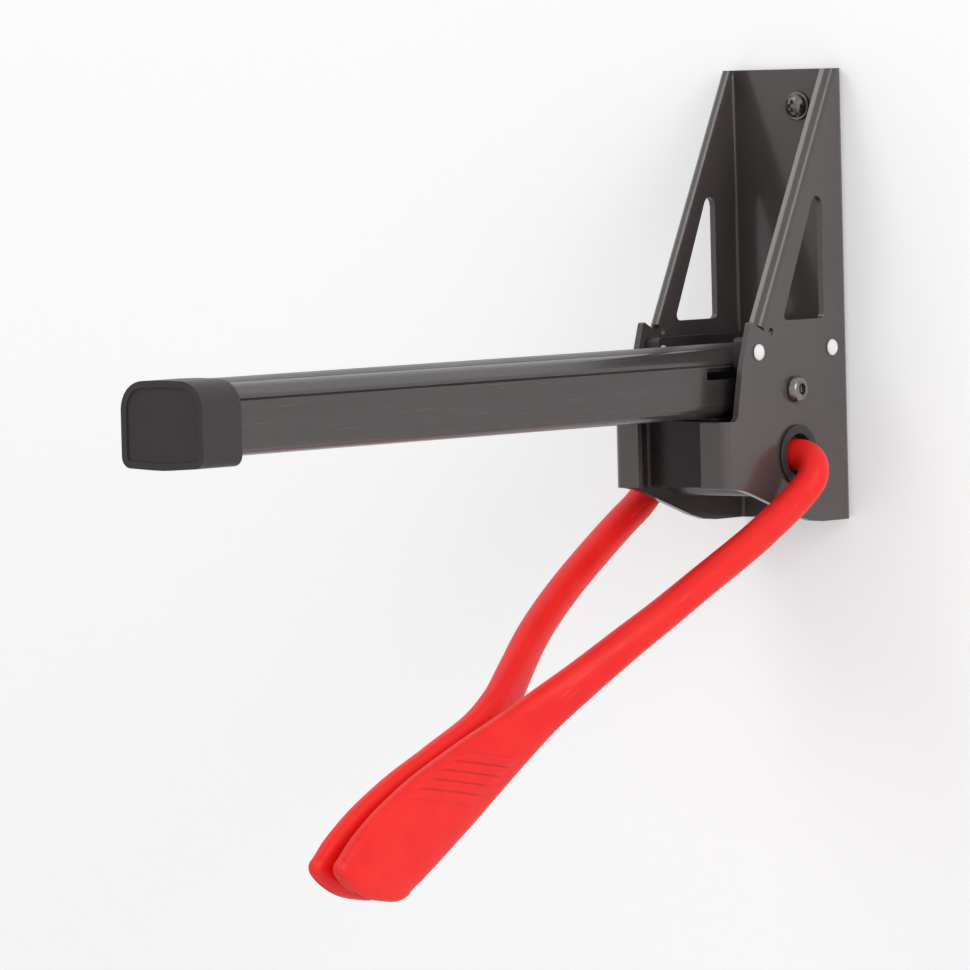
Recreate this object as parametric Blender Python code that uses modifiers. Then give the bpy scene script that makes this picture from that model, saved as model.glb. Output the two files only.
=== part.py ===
"""Wall bike holder: a folding arm and two soft steadying arms on a folded steel bracket.

The wall is the plane Y = 0 and the room lies towards -Y. Z is up, and Z = 0 is the level of the arm's
pivot. The right-hand side is +X. All sizes are in metres.
"""
import math

import bmesh
import bpy
from mathutils import Matrix, Vector

# Clearances between pieces
GAP = 0.0003                    # between pieces that touch on the real object
SLACK = 0.0006                  # round shanks in their holes, on the diameter
CUT_PAST = 0.01                 # how far cutters reach past what they cut

# Bracket: one sheet of steel, folded at the back and again at the nose
BRACKET_WIDTH = 0.065           # over both cheeks
SHEET = 0.003
BEND_RADIUS = 0.0015            # inside the folds
BRACKET_TOP = 0.148             # above the pivot
BRACKET_BOTTOM = 0.0625         # below the pivot
SLANT = math.radians(27.3)      # of the long front edge, from upright
NOSE_DEPTH = 0.0985             # front of the nose
NOSE_TOP = 0.013                # below the pivot
NOSE_BOTTOM = 0.0435
NOSE_STEP = 0.0097              # from the front back to where the plain edge meets the nose
NOSE_AHEAD = 0.0280             # of the lip's lower end
LIP_FOOT_DEPTH = NOSE_DEPTH - NOSE_AHEAD
LIP_FOOT_HEIGHT = 0.031         # of the lip's outer corner at its lower end
LIP_WIDTH = 0.0065              # from the cheek's outside
LIP_INSET = 0.00002             # keeps the fold's faces just inside the cheek's
RELIEF = 0.0015                 # slit below the lip
PLAIN_AHEAD = 0.0065            # how far the plain edge below stands out ahead of the lip
THROAT_DEPTH = NOSE_DEPTH - NOSE_STEP
SHOULDER_BACK = 0.0043          # from there back to where the plain edge steepens
SHOULDER_HEIGHT = 0.010
BELLY_BACK = 0.0145             # from the nose's front back to where the lower edge leaves it
BELLY_DROP = 0.0017             # how far it has fallen there
HEEL_DEPTH = 0.0340             # where the lower edge levels out
FLANGE_WIDTH = 0.0145           # folded part of the nose, from the cheek's outside
EDGE_ROUND = 0.0004

# Triangular windows in the cheeks
WINDOW_REAR = 0.0195            # depth of the upright side
WINDOW_BOTTOM = 0.032
WINDOW_BAND = 0.0180            # left between the lip's foot and the front corner, front to back
WINDOW_TIP_BAND = 0.0133        # left between the lip and the upper corner
WINDOW_ROUND = 0.0025
WINDOW_TIP_ROUND = 0.0042

# A small bare hole in each cheek
PEEP_BACK = 0.0090              # behind the lip's foot
PEEP_HEIGHT = 0.0274
PEEP_BORE = 0.0035

# Wall screws
SCREW_SIDE = 0.008              # to the right for the upper, to the left for the lower
SCREW_UPPER = 0.1307
SCREW_LOWER = 0.0525            # below the pivot
SCREW_SHANK = 0.0055
SCREW_HEAD = 0.0105
SCREW_HEAD_HEIGHT = 0.0034
SCREW_LENGTH = 0.045            # under the head
SCREW_TIP = 0.007
SCREW_SLOT = 0.0014             # width of an arm of the cross recess
SCREW_RECESS = 0.0018
WASHER_OUTSIDE = 0.0135
WASHER_THICK = 0.0011

# Side guides and their rivets
RIVET_HEIGHT = 0.0182
RIVET_BACK = 0.0265             # of the front pair, behind the nose's front
RIVET_REAR = 0.0145             # depth of the rear pair
RIVET_HEAD = 0.0076
RIVET_RISE = 0.0019
RIVET_SHANK = 0.0040
RIVET_TAIL = 0.0062
RIVET_TAIL_THICK = 0.0012
GUIDE_TOP = 0.0252
GUIDE_BOTTOM = 0.0095
GUIDE_ROOM = 0.00825            # between the bar and each cheek
GUIDE_MARGIN = 0.0045           # past the rivets' centres
GUIDE_ROUND = 0.003

# Arm: an extruded bar with a strip along its top
PIVOT_DEPTH = 0.0440
ARM_WIDTH = BRACKET_WIDTH - 2 * (SHEET + GUIDE_ROOM)
ARM_TOP = 0.0215                # crown of the strip
ARM_BOTTOM = 0.0115             # below the pivot
ARM_ROOT = 0.014                # behind the pivot
ARM_REACH = 0.4560              # outer face of the cap
ARM_WALL = 0.002
ARM_LOWER_ROUND = 0.006
STRIP_WIDTH = 0.024
STRIP_DROP = 0.0015             # from the strip's crown to its edges
STRIP_FLAT = 0.015
STRIP_THICK = 0.0042            # of its upper part
STRIP_NECK = 0.012
STRIP_FOOT = 0.019
STRIP_FOOT_THICK = 0.0026
SLOT_LIP = 0.002
SLOT_FLOOR = 0.002
SHOULDER_LEAN = 0.0004          # the shoulder's lower corner, in from the bar's side
SHOULDER_LOW = 0.0054           # and below the strip's edge
SHOULDER_LOW_ROUND = 0.0028
SHOULDER_SHARE = 0.60           # its upper corner, as a share of the way from the bar's side to the strip
SHOULDER_FALL = 0.0004          # and below the strip's edge
SHOULDER_ROUNDNESS = 0.80       # its radius, as a share of the same distance
SEAM_BELOW_CROWN = 0.0087
SEAM_DEPTH = 0.0008
SEAM_WIDTH = 0.0011
SIDE_SLOT_FRONT = 0.0965        # depth
SIDE_SLOT_REAR = 0.0660
SIDE_SLOT_TOP = 0.0116
SIDE_SLOT_BOTTOM = 0.0062
SIDE_SLOT_CUT = 0.003
SIDE_SLOT_ROUND = 0.0012

# Root plug and bushes
PLUG_LENGTH = 0.034
BUSH_WALL = 0.0012
BUSH_LENGTH = 0.014

# Pivot hardware
SLEEVE_OUTSIDE = 0.012
SLEEVE_WALL = 0.0017
BOLT_SHANK = 0.008
BOLT_HEAD = 0.0125
BOLT_HEAD_HEIGHT = 0.0042
BOLT_SOCKET = 0.005             # across flats
BOLT_SOCKET_DEPTH = 0.0026
BOLT_PAST_NUT = 0.0015
NUT_FLATS = 0.013
NUT_HEIGHT = 0.0065
PIVOT_WASHER_OUTSIDE = 0.016
PIVOT_WASHER_THICK = 0.0012

# End cap
CAP_OVER = 0.00175              # past each side of the bar
CAP_TOP = 0.0222
CAP_BOTTOM = 0.0165
CAP_LENGTH = 0.0255
CAP_FACE = 0.0035
CAP_BOW = 0.0012                # outward bow of its lower side
CAP_UPPER_ROUND = 0.0125
CAP_LOWER_ROUND = 0.0050
CAP_EDGE_ROUND = 0.0016
CAP_RIM = 0.0028
CAP_DISH = 0.0009
SPIGOT_LENGTH = 0.014
SPIGOT_WALL = 0.0018

# Stop block in the nose, and its pad
BLOCK_SET_BACK = 0.0100         # of the face between the folded edges, behind the nose's front
BLOCK_EDGES = 0.01275           # width of what the folded edges cover, on each side
BLOCK_LENGTH = 0.0345           # of its higher top, from the nose's front
BLOCK_RAMP = 0.0086             # how far behind that its lower side starts to rise
BLOCK_BELLY = 0.006             # how far its lower side hangs down behind
BLOCK_TOP = 0.0131              # below the pivot
BLOCK_BOTTOM = 0.0436
BLOCK_ROUND = 0.0012
SADDLE_TOP = 0.0186             # lower top behind, clear of the folding bar's corner
SADDLE_REAR = 0.0280
SADDLE_ROUND = 0.008
PAD_MARGIN = 0.0035             # from the ends of the block's higher top
PAD_SIDE = 0.0155               # from the bracket's side
PAD_ROUND = 0.002

# Axle of the steadying arms
AXLE_DEPTH = 0.0434
AXLE_DROP = 0.0304              # below the pivot
AXLE_DIAMETER = 0.008
AXLE_IN_ARM = 0.013             # how far it reaches into each arm
GROMMET_FLANGE = 0.028
GROMMET_FLANGE_THICK = 0.0014
GROMMET_BODY = 0.0235
GROMMET_MOUTH = 0.0194
GROMMET_MOUTH_DEPTH = 0.0062
GROMMET_LENGTH = 0.0165         # behind the flange
SPACER_LENGTH = 0.0234
SPACER_OUTSIDE = 0.0145

# Steadying arms. Each station of the right arm's centre line is x, the distance forward of the axle, the
# distance below it, the width of the section and its thickness.
TUBE = 0.0146                   # round section near the bracket
BEND_OUT = 0.0120               # radius of the bend outside the cheek
BEND_START = 0.0335             # x where the bend begins
BEND_SLOPE = math.radians(58.0) # below level, where the bend ends
STATIONS = (
    (0.0443, 0.0142, 0.0176, 0.0147, 0.0147),
    (0.0434, 0.0236, 0.0237, 0.0148, 0.0148),
    (0.0430, 0.0348, 0.0296, 0.0148, 0.0148),
    (0.0415, 0.0529, 0.0391, 0.0150, 0.0148),
    (0.0374, 0.0822, 0.0540, 0.0152, 0.0148),
    (0.0330, 0.1065, 0.0672, 0.0158, 0.0146),
    (0.0275, 0.1276, 0.0792, 0.0170, 0.0142),
    (0.0198, 0.1508, 0.0940, 0.0192, 0.0134),
    (0.0132, 0.1700, 0.1062, 0.0225, 0.0124),
    (0.0092, 0.1900, 0.1180, 0.0275, 0.0116),
    (0.0074, 0.2160, 0.1310, 0.0345, 0.0114),
    (0.0070, 0.2420, 0.1440, 0.0405, 0.0114),
    (0.0070, 0.2630, 0.1555, 0.0432, 0.0114),
    (0.0070, 0.2780, 0.1648, 0.0436, 0.0112),
    (0.0070, 0.2870, 0.1712, 0.0424, 0.0108),
)
WIDTH_TILT = math.radians(31.0) # the sections' width leans back by this
PADDLE_FROM = 0.1090            # forward distance where the round section starts to flatten
PADDLE_FULL = 0.2420            # forward distance where it is fully shaped
PADDLE_SKEW = 0.62              # the upper edge leads the lower one by this share of the width
PADDLE_BOW = 0.0035             # the sections' middle leads their edges
PADDLE_SQUARE = 2.9             # exponent of the flat section's outline, 2 being an ellipse
TIP_ROUND = 0.0085              # length over which the paddle's end rounds off
RIB_COUNT = 7
RIB_PITCH = 0.0062
RIB_HEIGHT = 0.0007
RIB_FROM = 0.2120               # forward distance of the first rib
RING_POINTS = 20
RUN_RINGS = 17
RUN_CROWDING = 1.35             # power by which the run's sections crowd towards the bend
PADDLE_RINGS = 4

# Worked out from the sizes above
SHOULDER_DEPTH = THROAT_DEPTH - SHOULDER_BACK
BELLY_DEPTH = NOSE_DEPTH - BELLY_BACK
WINDOW_FRONT = LIP_FOOT_DEPTH - WINDOW_BAND
WINDOW_TOP = LIP_FOOT_HEIGHT + (LIP_FOOT_DEPTH - WINDOW_REAR - WINDOW_TIP_BAND) / math.tan(SLANT)
PEEP_DEPTH = LIP_FOOT_DEPTH - PEEP_BACK
RIVET_FRONT = NOSE_DEPTH - RIVET_BACK
CAP_WIDTH = ARM_WIDTH + 2 * CAP_OVER
BLOCK_FRONT = NOSE_DEPTH - BLOCK_SET_BACK
BLOCK_RECESS = BRACKET_WIDTH - 2 * BLOCK_EDGES
BLOCK_REAR = NOSE_DEPTH - BLOCK_LENGTH
PAD_FRONT = BLOCK_FRONT - PAD_MARGIN
PAD_REAR = BLOCK_REAR + PAD_MARGIN
PAD_WIDTH = BRACKET_WIDTH - 2 * PAD_SIDE
CHEEK_OUT = BRACKET_WIDTH / 2
CHEEK_IN = CHEEK_OUT - SHEET
ARM_HALF = ARM_WIDTH / 2
SHOULDER_SPAN = ARM_HALF - STRIP_WIDTH / 2
STRIP_EDGE_Z = ARM_TOP - STRIP_DROP
STRIP_LEDGE_Z = ARM_TOP - STRIP_THICK
LIP_Z = STRIP_LEDGE_Z - GAP - SLOT_LIP
FOOT_FLOOR_Z = LIP_Z - STRIP_FOOT_THICK - 2 * GAP
CHAMBER_TOP = FOOT_FLOOR_Z - SLOT_FLOOR
BEAM_END = ARM_REACH - CAP_FACE - GAP
CAP_REAR = ARM_REACH - CAP_LENGTH
SLEEVE_HALF = CHEEK_IN - GAP
BUSH_BORE = SLEEVE_OUTSIDE + 2 * GAP
BUSH_OUTSIDE = BUSH_BORE + 2 * BUSH_WALL
BUSH_HOLE = BUSH_OUTSIDE + 2 * GAP

# Places of curves' and turned pieces' own axes: side views look along X, end views along Y
SIDE = Matrix(((0, 0, 1, 0), (1, 0, 0, 0), (0, 1, 0, 0), (0, 0, 0, 1)))
FRONT = Matrix(((1, 0, 0, 0), (0, 0, -1, 0), (0, 1, 0, 0), (0, 0, 0, 1)))
PLAN = Matrix.Identity(4)


def clear_scene():
    for item in list(bpy.data.objects):
        bpy.data.objects.remove(item, do_unlink=True)


def new_collection(name):
    found = bpy.data.collections.new(name)
    bpy.context.scene.collection.children.link(found)
    return found


def new_material(name, colour, roughness, metallic=0.0):
    material = bpy.data.materials.new(name)
    material.use_nodes = True
    shader = material.node_tree.nodes["Principled BSDF"]
    shader.inputs["Base Color"].default_value = (*colour, 1.0)
    shader.inputs["Roughness"].default_value = roughness
    shader.inputs["Metallic"].default_value = metallic
    return material


def new_empty(name, place):
    empty = bpy.data.objects.new(name, None)
    empty.location = place
    empty.empty_display_size = 0.03
    PIECES.objects.link(empty)
    return empty


def add_mesh(name, mesh, matrix=PLAN, collection=None):
    item = bpy.data.objects.new(name, mesh)
    item.matrix_world = matrix
    (collection or PIECES).objects.link(item)
    return item


def smooth(item, angle=32.0):
    item.data.shade_smooth()
    item.data.set_sharp_from_angle(angle=math.radians(angle))


def finish(item, material, parent=None, edge=0.0, segments=2, angle=32.0):
    """Gives a piece its material, its parent and, where edge is set, rounded edges."""
    item.data.materials.clear()
    item.data.materials.append(material)
    if edge:
        bevel = item.modifiers.new("Rounded edges", "BEVEL")
        bevel.width = edge
        bevel.segments = segments
        bevel.limit_method = "ANGLE"
        bevel.angle_limit = math.radians(angle)
        bevel.use_clamp_overlap = True
        bevel.harden_normals = True
    smooth(item, angle)
    if parent:
        place = item.matrix_world.copy()
        item.parent = parent
        item.matrix_parent_inverse = Matrix.Translation(-parent.location)
        item.matrix_world = place
    return item


def rounded(corners, step=math.radians(15)):
    """Turns corners (u, v, radius) into a closed outline with an arc at each corner."""
    points = []
    count = len(corners)
    for index, (u, v, radius) in enumerate(corners):
        here = Vector((u, v))
        back = (Vector(corners[index - 1][:2]) - here).normalized()
        ahead = (Vector(corners[(index + 1) % count][:2]) - here).normalized()
        half = back.angle(ahead) / 2
        if not radius or half > math.radians(89):
            points.append(here)
            continue
        reach = radius / math.tan(half)
        middle = here + (back + ahead).normalized() * (radius / math.sin(half))
        start = here + back * reach - middle
        turn = math.pi - 2 * half
        turn *= 1 if back.x * ahead.y - back.y * ahead.x < 0 else -1
        pieces = max(2, round(abs(turn) / step))
        for number in range(pieces + 1):
            spin = turn * number / pieces
            points.append(middle + Matrix.Rotation(spin, 2) @ start)
    return points


def plate(name, outlines, low, high, view, collection=None):
    """A flat piece: closed outlines, holes after the first, from low to high along the view's axis."""
    curve = bpy.data.curves.new(name, "CURVE")
    curve.dimensions = "2D"
    curve.fill_mode = "BOTH"
    curve.extrude = (high - low) / 2
    for outline in outlines:
        spline = curve.splines.new("POLY")
        spline.points.add(len(outline) - 1)
        for point, place in zip(spline.points, outline):
            point.co = (place[0], place[1], 0.0, 1.0)
        spline.use_cyclic_u = True
    drawn = bpy.data.objects.new(name, curve)
    CUTTERS.objects.link(drawn)
    drawn.matrix_world = view @ Matrix.Translation((0, 0, (high + low) / 2))
    bpy.context.view_layer.update()
    evaluated = drawn.evaluated_get(bpy.context.evaluated_depsgraph_get())
    mesh = bpy.data.meshes.new_from_object(evaluated)
    mesh.name = name
    matrix = drawn.matrix_world.copy()
    bpy.data.objects.remove(drawn, do_unlink=True)
    weld(mesh)
    return add_mesh(name, mesh, matrix, collection)


def weld(mesh):
    shape = bmesh.new()
    shape.from_mesh(mesh)
    bmesh.ops.remove_doubles(shape, verts=shape.verts, dist=0.000002)
    bmesh.ops.recalc_face_normals(shape, faces=shape.faces)
    shape.to_mesh(mesh)
    shape.free()


def turned(name, profile, matrix, closed=False, steps=28, collection=None):
    """A piece turned about its own Z. The profile (radius, height) runs down its outer side."""
    mesh = bpy.data.meshes.new(name)
    count = len(profile)
    edges = [(n, (n + 1) % count) for n in range(count if closed else count - 1)]
    mesh.from_pydata([(radius, 0.0, height) for radius, height in profile], edges, [])
    item = add_mesh(name, mesh, matrix, collection)
    screw = item.modifiers.new("Turned", "SCREW")
    screw.axis = "Z"
    screw.steps = steps
    screw.render_steps = steps
    screw.use_merge_vertices = True
    screw.merge_threshold = 0.00001
    bpy.context.view_layer.update()
    evaluated = item.evaluated_get(bpy.context.evaluated_depsgraph_get())
    solid = bpy.data.meshes.new_from_object(evaluated)
    item.modifiers.clear()
    item.data = solid
    bpy.data.meshes.remove(mesh)
    weld(solid)
    return item


def ring_profile(outside, inside, low, high, chamfer=0.0):
    """The closed profile of a tube or washer, its outer corners chamfered."""
    outer = outside / 2
    inner = inside / 2
    if not chamfer:
        return [(inner, high), (outer, high), (outer, low), (inner, low)]
    return [(inner, high), (outer - chamfer, high), (outer, high - chamfer), (outer, low + chamfer),
            (outer - chamfer, low), (inner, low)]


def prism(name, flats, low, high, matrix, collection=None):
    """A hexagonal prism along its own Z."""
    shape = bmesh.new()
    bmesh.ops.create_cone(shape, cap_ends=True, segments=6, radius1=flats / math.sqrt(3),
                          radius2=flats / math.sqrt(3), depth=high - low)
    bmesh.ops.translate(shape, verts=shape.verts, vec=(0, 0, (high + low) / 2))
    mesh = bpy.data.meshes.new(name)
    shape.to_mesh(mesh)
    shape.free()
    return add_mesh(name, mesh, matrix, collection)


def rod(name, diameter, low, high, matrix, steps=24):
    """A plain cylinder along its own Z."""
    radius = diameter / 2
    return turned(name, [(0, high), (radius, high), (radius, low), (0, low)], matrix, steps=steps)


def combine(item, other, operation="DIFFERENCE"):
    """Applies a Boolean at once and drops the second object."""
    boolean = item.modifiers.new("Cut", "BOOLEAN")
    boolean.operation = operation
    boolean.solver = "EXACT"
    boolean.object = other
    bpy.context.view_layer.update()
    evaluated = item.evaluated_get(bpy.context.evaluated_depsgraph_get())
    mesh = bpy.data.meshes.new_from_object(evaluated)
    item.modifiers.clear()
    old = item.data
    item.data = mesh
    bpy.data.meshes.remove(old)
    bpy.data.objects.remove(other, do_unlink=True)
    weld(mesh)
    return item


def bore(item, matrix, *stages, steps=28):
    """Cuts a round hole in stages (diameter, low, high), each below the one before it."""
    profile = [(0, stages[0][2])]
    for diameter, low, high in stages:
        profile += [(diameter / 2, high), (diameter / 2, low)]
    profile.append((0, stages[-1][1]))
    return combine(item, turned("bore", profile, matrix, steps=steps, collection=CUTTERS))


def across(depth, height):
    """The place of an axis that runs along X at this depth from the wall."""
    return Matrix.Translation((0, -depth, height)) @ SIDE


def off_wall(x, height):
    """The place of an axis that runs out of the wall, along -Y."""
    return Matrix.Translation((x, 0, height)) @ FRONT


def mirrored(source, name, material, parent=None):
    """The left-hand copy of a right-hand piece."""
    shape = bmesh.new()
    shape.from_mesh(source.data)
    shape.transform(Matrix.Scale(-1, 4, (1, 0, 0)) @ source.matrix_world)
    bmesh.ops.reverse_faces(shape, faces=shape.faces)
    mesh = bpy.data.meshes.new(name)
    shape.to_mesh(mesh)
    shape.free()
    return finish(add_mesh(name, mesh), material, parent)


def on_slant(ahead, along):
    """A point (-depth, height) by its distance ahead of the lip's outer face and up along it."""
    depth = LIP_FOOT_DEPTH + ahead * math.cos(SLANT) - along * math.sin(SLANT)
    return -depth, LIP_FOOT_HEIGHT + ahead * math.sin(SLANT) + along * math.cos(SLANT)


def cheek_outline():
    """The bracket seen from its right side, its lips apart: u is -depth, v is height."""
    behind = CUT_PAST
    fold = -BEND_RADIUS - SHEET
    foot = on_slant(fold, 0)
    return rounded([
        (behind, BRACKET_TOP, 0),
        (foot[0] + (BRACKET_TOP - foot[1]) * math.tan(SLANT), BRACKET_TOP, 0),
        (*on_slant(fold, -RELIEF), RELIEF / 3),
        (*on_slant(PLAIN_AHEAD, -RELIEF), 0.0012),
        (-SHOULDER_DEPTH, SHOULDER_HEIGHT, 0.060),
        (-THROAT_DEPTH, -NOSE_TOP, 0.0035),
        (-NOSE_DEPTH, -NOSE_TOP, EDGE_ROUND),
        (-NOSE_DEPTH, -NOSE_BOTTOM, EDGE_ROUND),
        (-BELLY_DEPTH, -NOSE_BOTTOM - BELLY_DROP, 0.040),
        (-HEEL_DEPTH, -BRACKET_BOTTOM, 0.060),
        (behind, -BRACKET_BOTTOM, 0),
    ])


def add_lips(bracket):
    """Folds the slanted edges inwards, as a strip of L section on each cheek."""
    outer = BEND_RADIUS + SHEET
    edge = CHEEK_OUT - LIP_WIDTH
    back = outer + SHEET / 2
    outside = CHEEK_OUT - LIP_INSET
    inside = CHEEK_IN + LIP_INSET
    section = rounded([
        (edge, 0, EDGE_ROUND), (outside, 0, outer), (outside, back, 0), (inside, back, 0),
        (inside, SHEET, BEND_RADIUS), (edge, SHEET, EDGE_ROUND)], math.radians(18))
    mirror_image = [Vector((-point.x, point.y)) for point in section]
    foot = on_slant(0, 0)
    length = (BRACKET_TOP - LIP_FOOT_HEIGHT) / math.cos(SLANT) + outer
    inward = Vector((0, math.cos(SLANT), -math.sin(SLANT)))
    along = Vector((0, math.sin(SLANT), math.cos(SLANT)))
    place = Matrix((Vector((1, 0, 0)), inward, along)).transposed().to_4x4()
    place.translation = (0, foot[0], foot[1])
    wide = BRACKET_WIDTH
    square = [(-wide, wide), (wide, wide), (wide, -wide), (-wide, -wide)]
    for outline in (section, mirror_image):
        lip = plate("lip", [outline], 0, length, place, CUTTERS)
        combine(lip, plate("above", [square], BRACKET_TOP, BRACKET_TOP + wide, PLAN, CUTTERS))
        combine(bracket, lip, "UNION")


def folded_section():
    """The bracket seen from above, as a strip of sheet with four folds."""
    outer = BEND_RADIUS + SHEET
    flange = CHEEK_OUT - FLANGE_WIDTH
    corners = [
        (flange, -NOSE_DEPTH, 0), (CHEEK_OUT, -NOSE_DEPTH, outer), (CHEEK_OUT, 0, outer),
        (-CHEEK_OUT, 0, outer), (-CHEEK_OUT, -NOSE_DEPTH, outer), (-flange, -NOSE_DEPTH, 0),
        (-flange, -NOSE_DEPTH + SHEET, 0), (-CHEEK_IN, -NOSE_DEPTH + SHEET, BEND_RADIUS),
        (-CHEEK_IN, -SHEET, BEND_RADIUS), (CHEEK_IN, -SHEET, BEND_RADIUS),
        (CHEEK_IN, -NOSE_DEPTH + SHEET, BEND_RADIUS), (flange, -NOSE_DEPTH + SHEET, 0),
    ]
    return rounded(corners, math.radians(18))


def window_outline():
    return rounded([
        (-WINDOW_REAR, WINDOW_BOTTOM, WINDOW_ROUND),
        (-WINDOW_REAR, WINDOW_TOP, WINDOW_TIP_ROUND),
        (-WINDOW_FRONT, WINDOW_BOTTOM, WINDOW_ROUND),
    ], math.radians(30))


def build_bracket(material):
    wide = CHEEK_OUT + CUT_PAST
    low = -BRACKET_BOTTOM - CUT_PAST
    bracket = plate("wall_bracket", [folded_section()], low, BRACKET_TOP + CUT_PAST, PLAN)
    shape = plate("cheek_shape", [cheek_outline(), window_outline()], -wide, wide, SIDE, CUTTERS)
    combine(bracket, shape, "INTERSECT")
    add_lips(bracket)
    for depth in (RIVET_FRONT, RIVET_REAR):
        bore(bracket, across(depth, RIVET_HEIGHT), (RIVET_SHANK + SLACK, -wide, wide), steps=20)
    bore(bracket, across(PEEP_DEPTH, PEEP_HEIGHT), (PEEP_BORE, -wide, wide), steps=20)
    bore(bracket, across(PIVOT_DEPTH, 0), (BOLT_SHANK + SLACK, -wide, wide), steps=24)
    bore(bracket, across(AXLE_DEPTH, -AXLE_DROP), (GROMMET_BODY + 2 * GAP, -wide, wide), steps=36)
    for side, height in screw_places():
        bore(bracket, off_wall(side, height), (SCREW_SHANK + SLACK, -CUT_PAST, SHEET + CUT_PAST), steps=20)
    return finish(bracket, material)


def screw_places():
    return (SCREW_SIDE, SCREW_UPPER), (-SCREW_SIDE, -SCREW_LOWER)


def build_wall_screw(name, side, height, material):
    """A pan-head screw with a cross recess, through the washer and the back plate into the wall."""
    seat = SHEET + GAP + WASHER_THICK + GAP
    top = seat + SCREW_HEAD_HEIGHT
    head = SCREW_HEAD / 2
    shank = SCREW_SHANK / 2
    tip = seat - SCREW_LENGTH
    profile = [(0, top), (head * 0.45, top - 0.0002), (head * 0.80, top - 0.0009), (head, seat + 0.0012),
               (head, seat), (shank, seat), (shank, tip + SCREW_TIP), (0.0004, tip), (0, tip)]
    screw = turned(name, profile, off_wall(side, height), steps=24)
    arm = head * 0.55
    half = SCREW_SLOT / 2
    root = half * 1.5
    quarter = [Vector((arm, half)), Vector((root, root)), Vector((half, arm))]
    cross = [Matrix.Rotation(math.pi / 2 * turn, 2) @ point for turn in range(4) for point in quarter]
    combine(screw, plate("recess", [cross], top - SCREW_RECESS, top + 0.001, off_wall(side, height), CUTTERS))
    return finish(screw, material)


def build_wall_washer(name, side, height, material):
    low = SHEET + GAP
    profile = ring_profile(WASHER_OUTSIDE, SCREW_SHANK + SLACK, low, low + WASHER_THICK, 0.0003)
    return finish(turned(name, profile, off_wall(side, height), True, 28), material)


def build_guide(name, material):
    """The right-hand guide: a strip between the bar and the cheek, on two rivets."""
    inner = ARM_HALF + GAP
    front = RIVET_FRONT + GUIDE_MARGIN
    rear = RIVET_REAR - GUIDE_MARGIN
    outline = rounded([
        (-front, GUIDE_BOTTOM, GUIDE_ROUND), (-rear, GUIDE_BOTTOM, GUIDE_ROUND),
        (-rear, GUIDE_TOP, GUIDE_ROUND), (-front, GUIDE_TOP, GUIDE_ROUND)], math.radians(30))
    guide = plate(name, [outline], inner, CHEEK_IN - GAP, SIDE)
    for depth in (RIVET_FRONT, RIVET_REAR):
        floor = inner + GAP + RIVET_TAIL_THICK + GAP
        bore(guide, across(depth, RIVET_HEIGHT), (RIVET_SHANK + SLACK, floor, CHEEK_OUT),
             (RIVET_TAIL + SLACK, 0, floor), steps=20)
    return finish(guide, material)


def build_rivet(name, depth, material):
    """A right-hand rivet: domed head outside the cheek, tail sunk in the guide's inner face."""
    under = CHEEK_OUT + GAP
    head = RIVET_HEAD / 2
    shank = RIVET_SHANK / 2
    tail = RIVET_TAIL / 2
    low = ARM_HALF + 2 * GAP
    dome = [(head * math.cos(math.radians(a)), under + RIVET_RISE * math.sin(math.radians(a)))
            for a in (66, 42, 20, 0)]
    upset = low + RIVET_TAIL_THICK
    profile = [(0, under + RIVET_RISE)] + dome + [
        (shank, under), (shank, upset), (tail, upset), (tail, low), (0, low)]
    return finish(turned(name, profile, across(depth, RIVET_HEIGHT), steps=20), material)


def build_block(material):
    """The stop: a moulding held by both grommets and trapped behind the folded edges of the nose."""
    wide = CHEEK_IN - GAP
    ears = NOSE_DEPTH - SHEET - GAP
    side = rounded([
        (-ears, -BLOCK_TOP, BLOCK_ROUND), (-BLOCK_REAR, -BLOCK_TOP, BLOCK_ROUND),
        (-BLOCK_REAR + 0.004, -SADDLE_TOP, 0.002), (-SADDLE_REAR, -SADDLE_TOP, SADDLE_ROUND),
        (-SADDLE_REAR, -BLOCK_BOTTOM - BLOCK_BELLY, SADDLE_ROUND),
        (-BLOCK_REAR + BLOCK_RAMP, -BLOCK_BOTTOM - BLOCK_BELLY, 0.012),
        (-BLOCK_REAR, -BLOCK_BOTTOM, 0.012), (-ears, -BLOCK_BOTTOM, BLOCK_ROUND)])
    block = plate("stop_block", [side], -wide, wide, SIDE)
    corner = BEND_RADIUS + GAP
    plan = rounded([
        (wide, -ears, corner), (wide, 0, 0), (-wide, 0, 0), (-wide, -ears, corner),
        (-BLOCK_RECESS / 2, -ears, 0.0006), (-BLOCK_RECESS / 2, -BLOCK_FRONT, 0.002),
        (BLOCK_RECESS / 2, -BLOCK_FRONT, 0.002), (BLOCK_RECESS / 2, -ears, 0.0006)])
    combine(block, plate("block_plan", [plan], -BRACKET_BOTTOM, 0, PLAN, CUTTERS), "INTERSECT")
    seat = CHEEK_OUT - GROMMET_LENGTH
    shoulder = GROMMET_BODY + 2 * GAP
    bore(block, across(AXLE_DEPTH, -AXLE_DROP), (shoulder, seat, CHEEK_OUT),
         (SPACER_OUTSIDE + 4 * GAP, -seat, seat), (shoulder, -CHEEK_OUT, -seat), steps=32)
    return finish(block, material)


def build_stop_pad(material):
    half = PAD_WIDTH / 2
    outline = rounded([(half, -PAD_FRONT, PAD_ROUND), (half, -PAD_REAR, PAD_ROUND),
                       (-half, -PAD_REAR, PAD_ROUND), (-half, -PAD_FRONT, PAD_ROUND)], math.radians(30))
    pad = plate("stop_pad", [outline], -BLOCK_TOP + GAP, -ARM_BOTTOM - GAP, PLAN)
    return finish(pad, material, edge=0.0003, segments=1)


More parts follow.
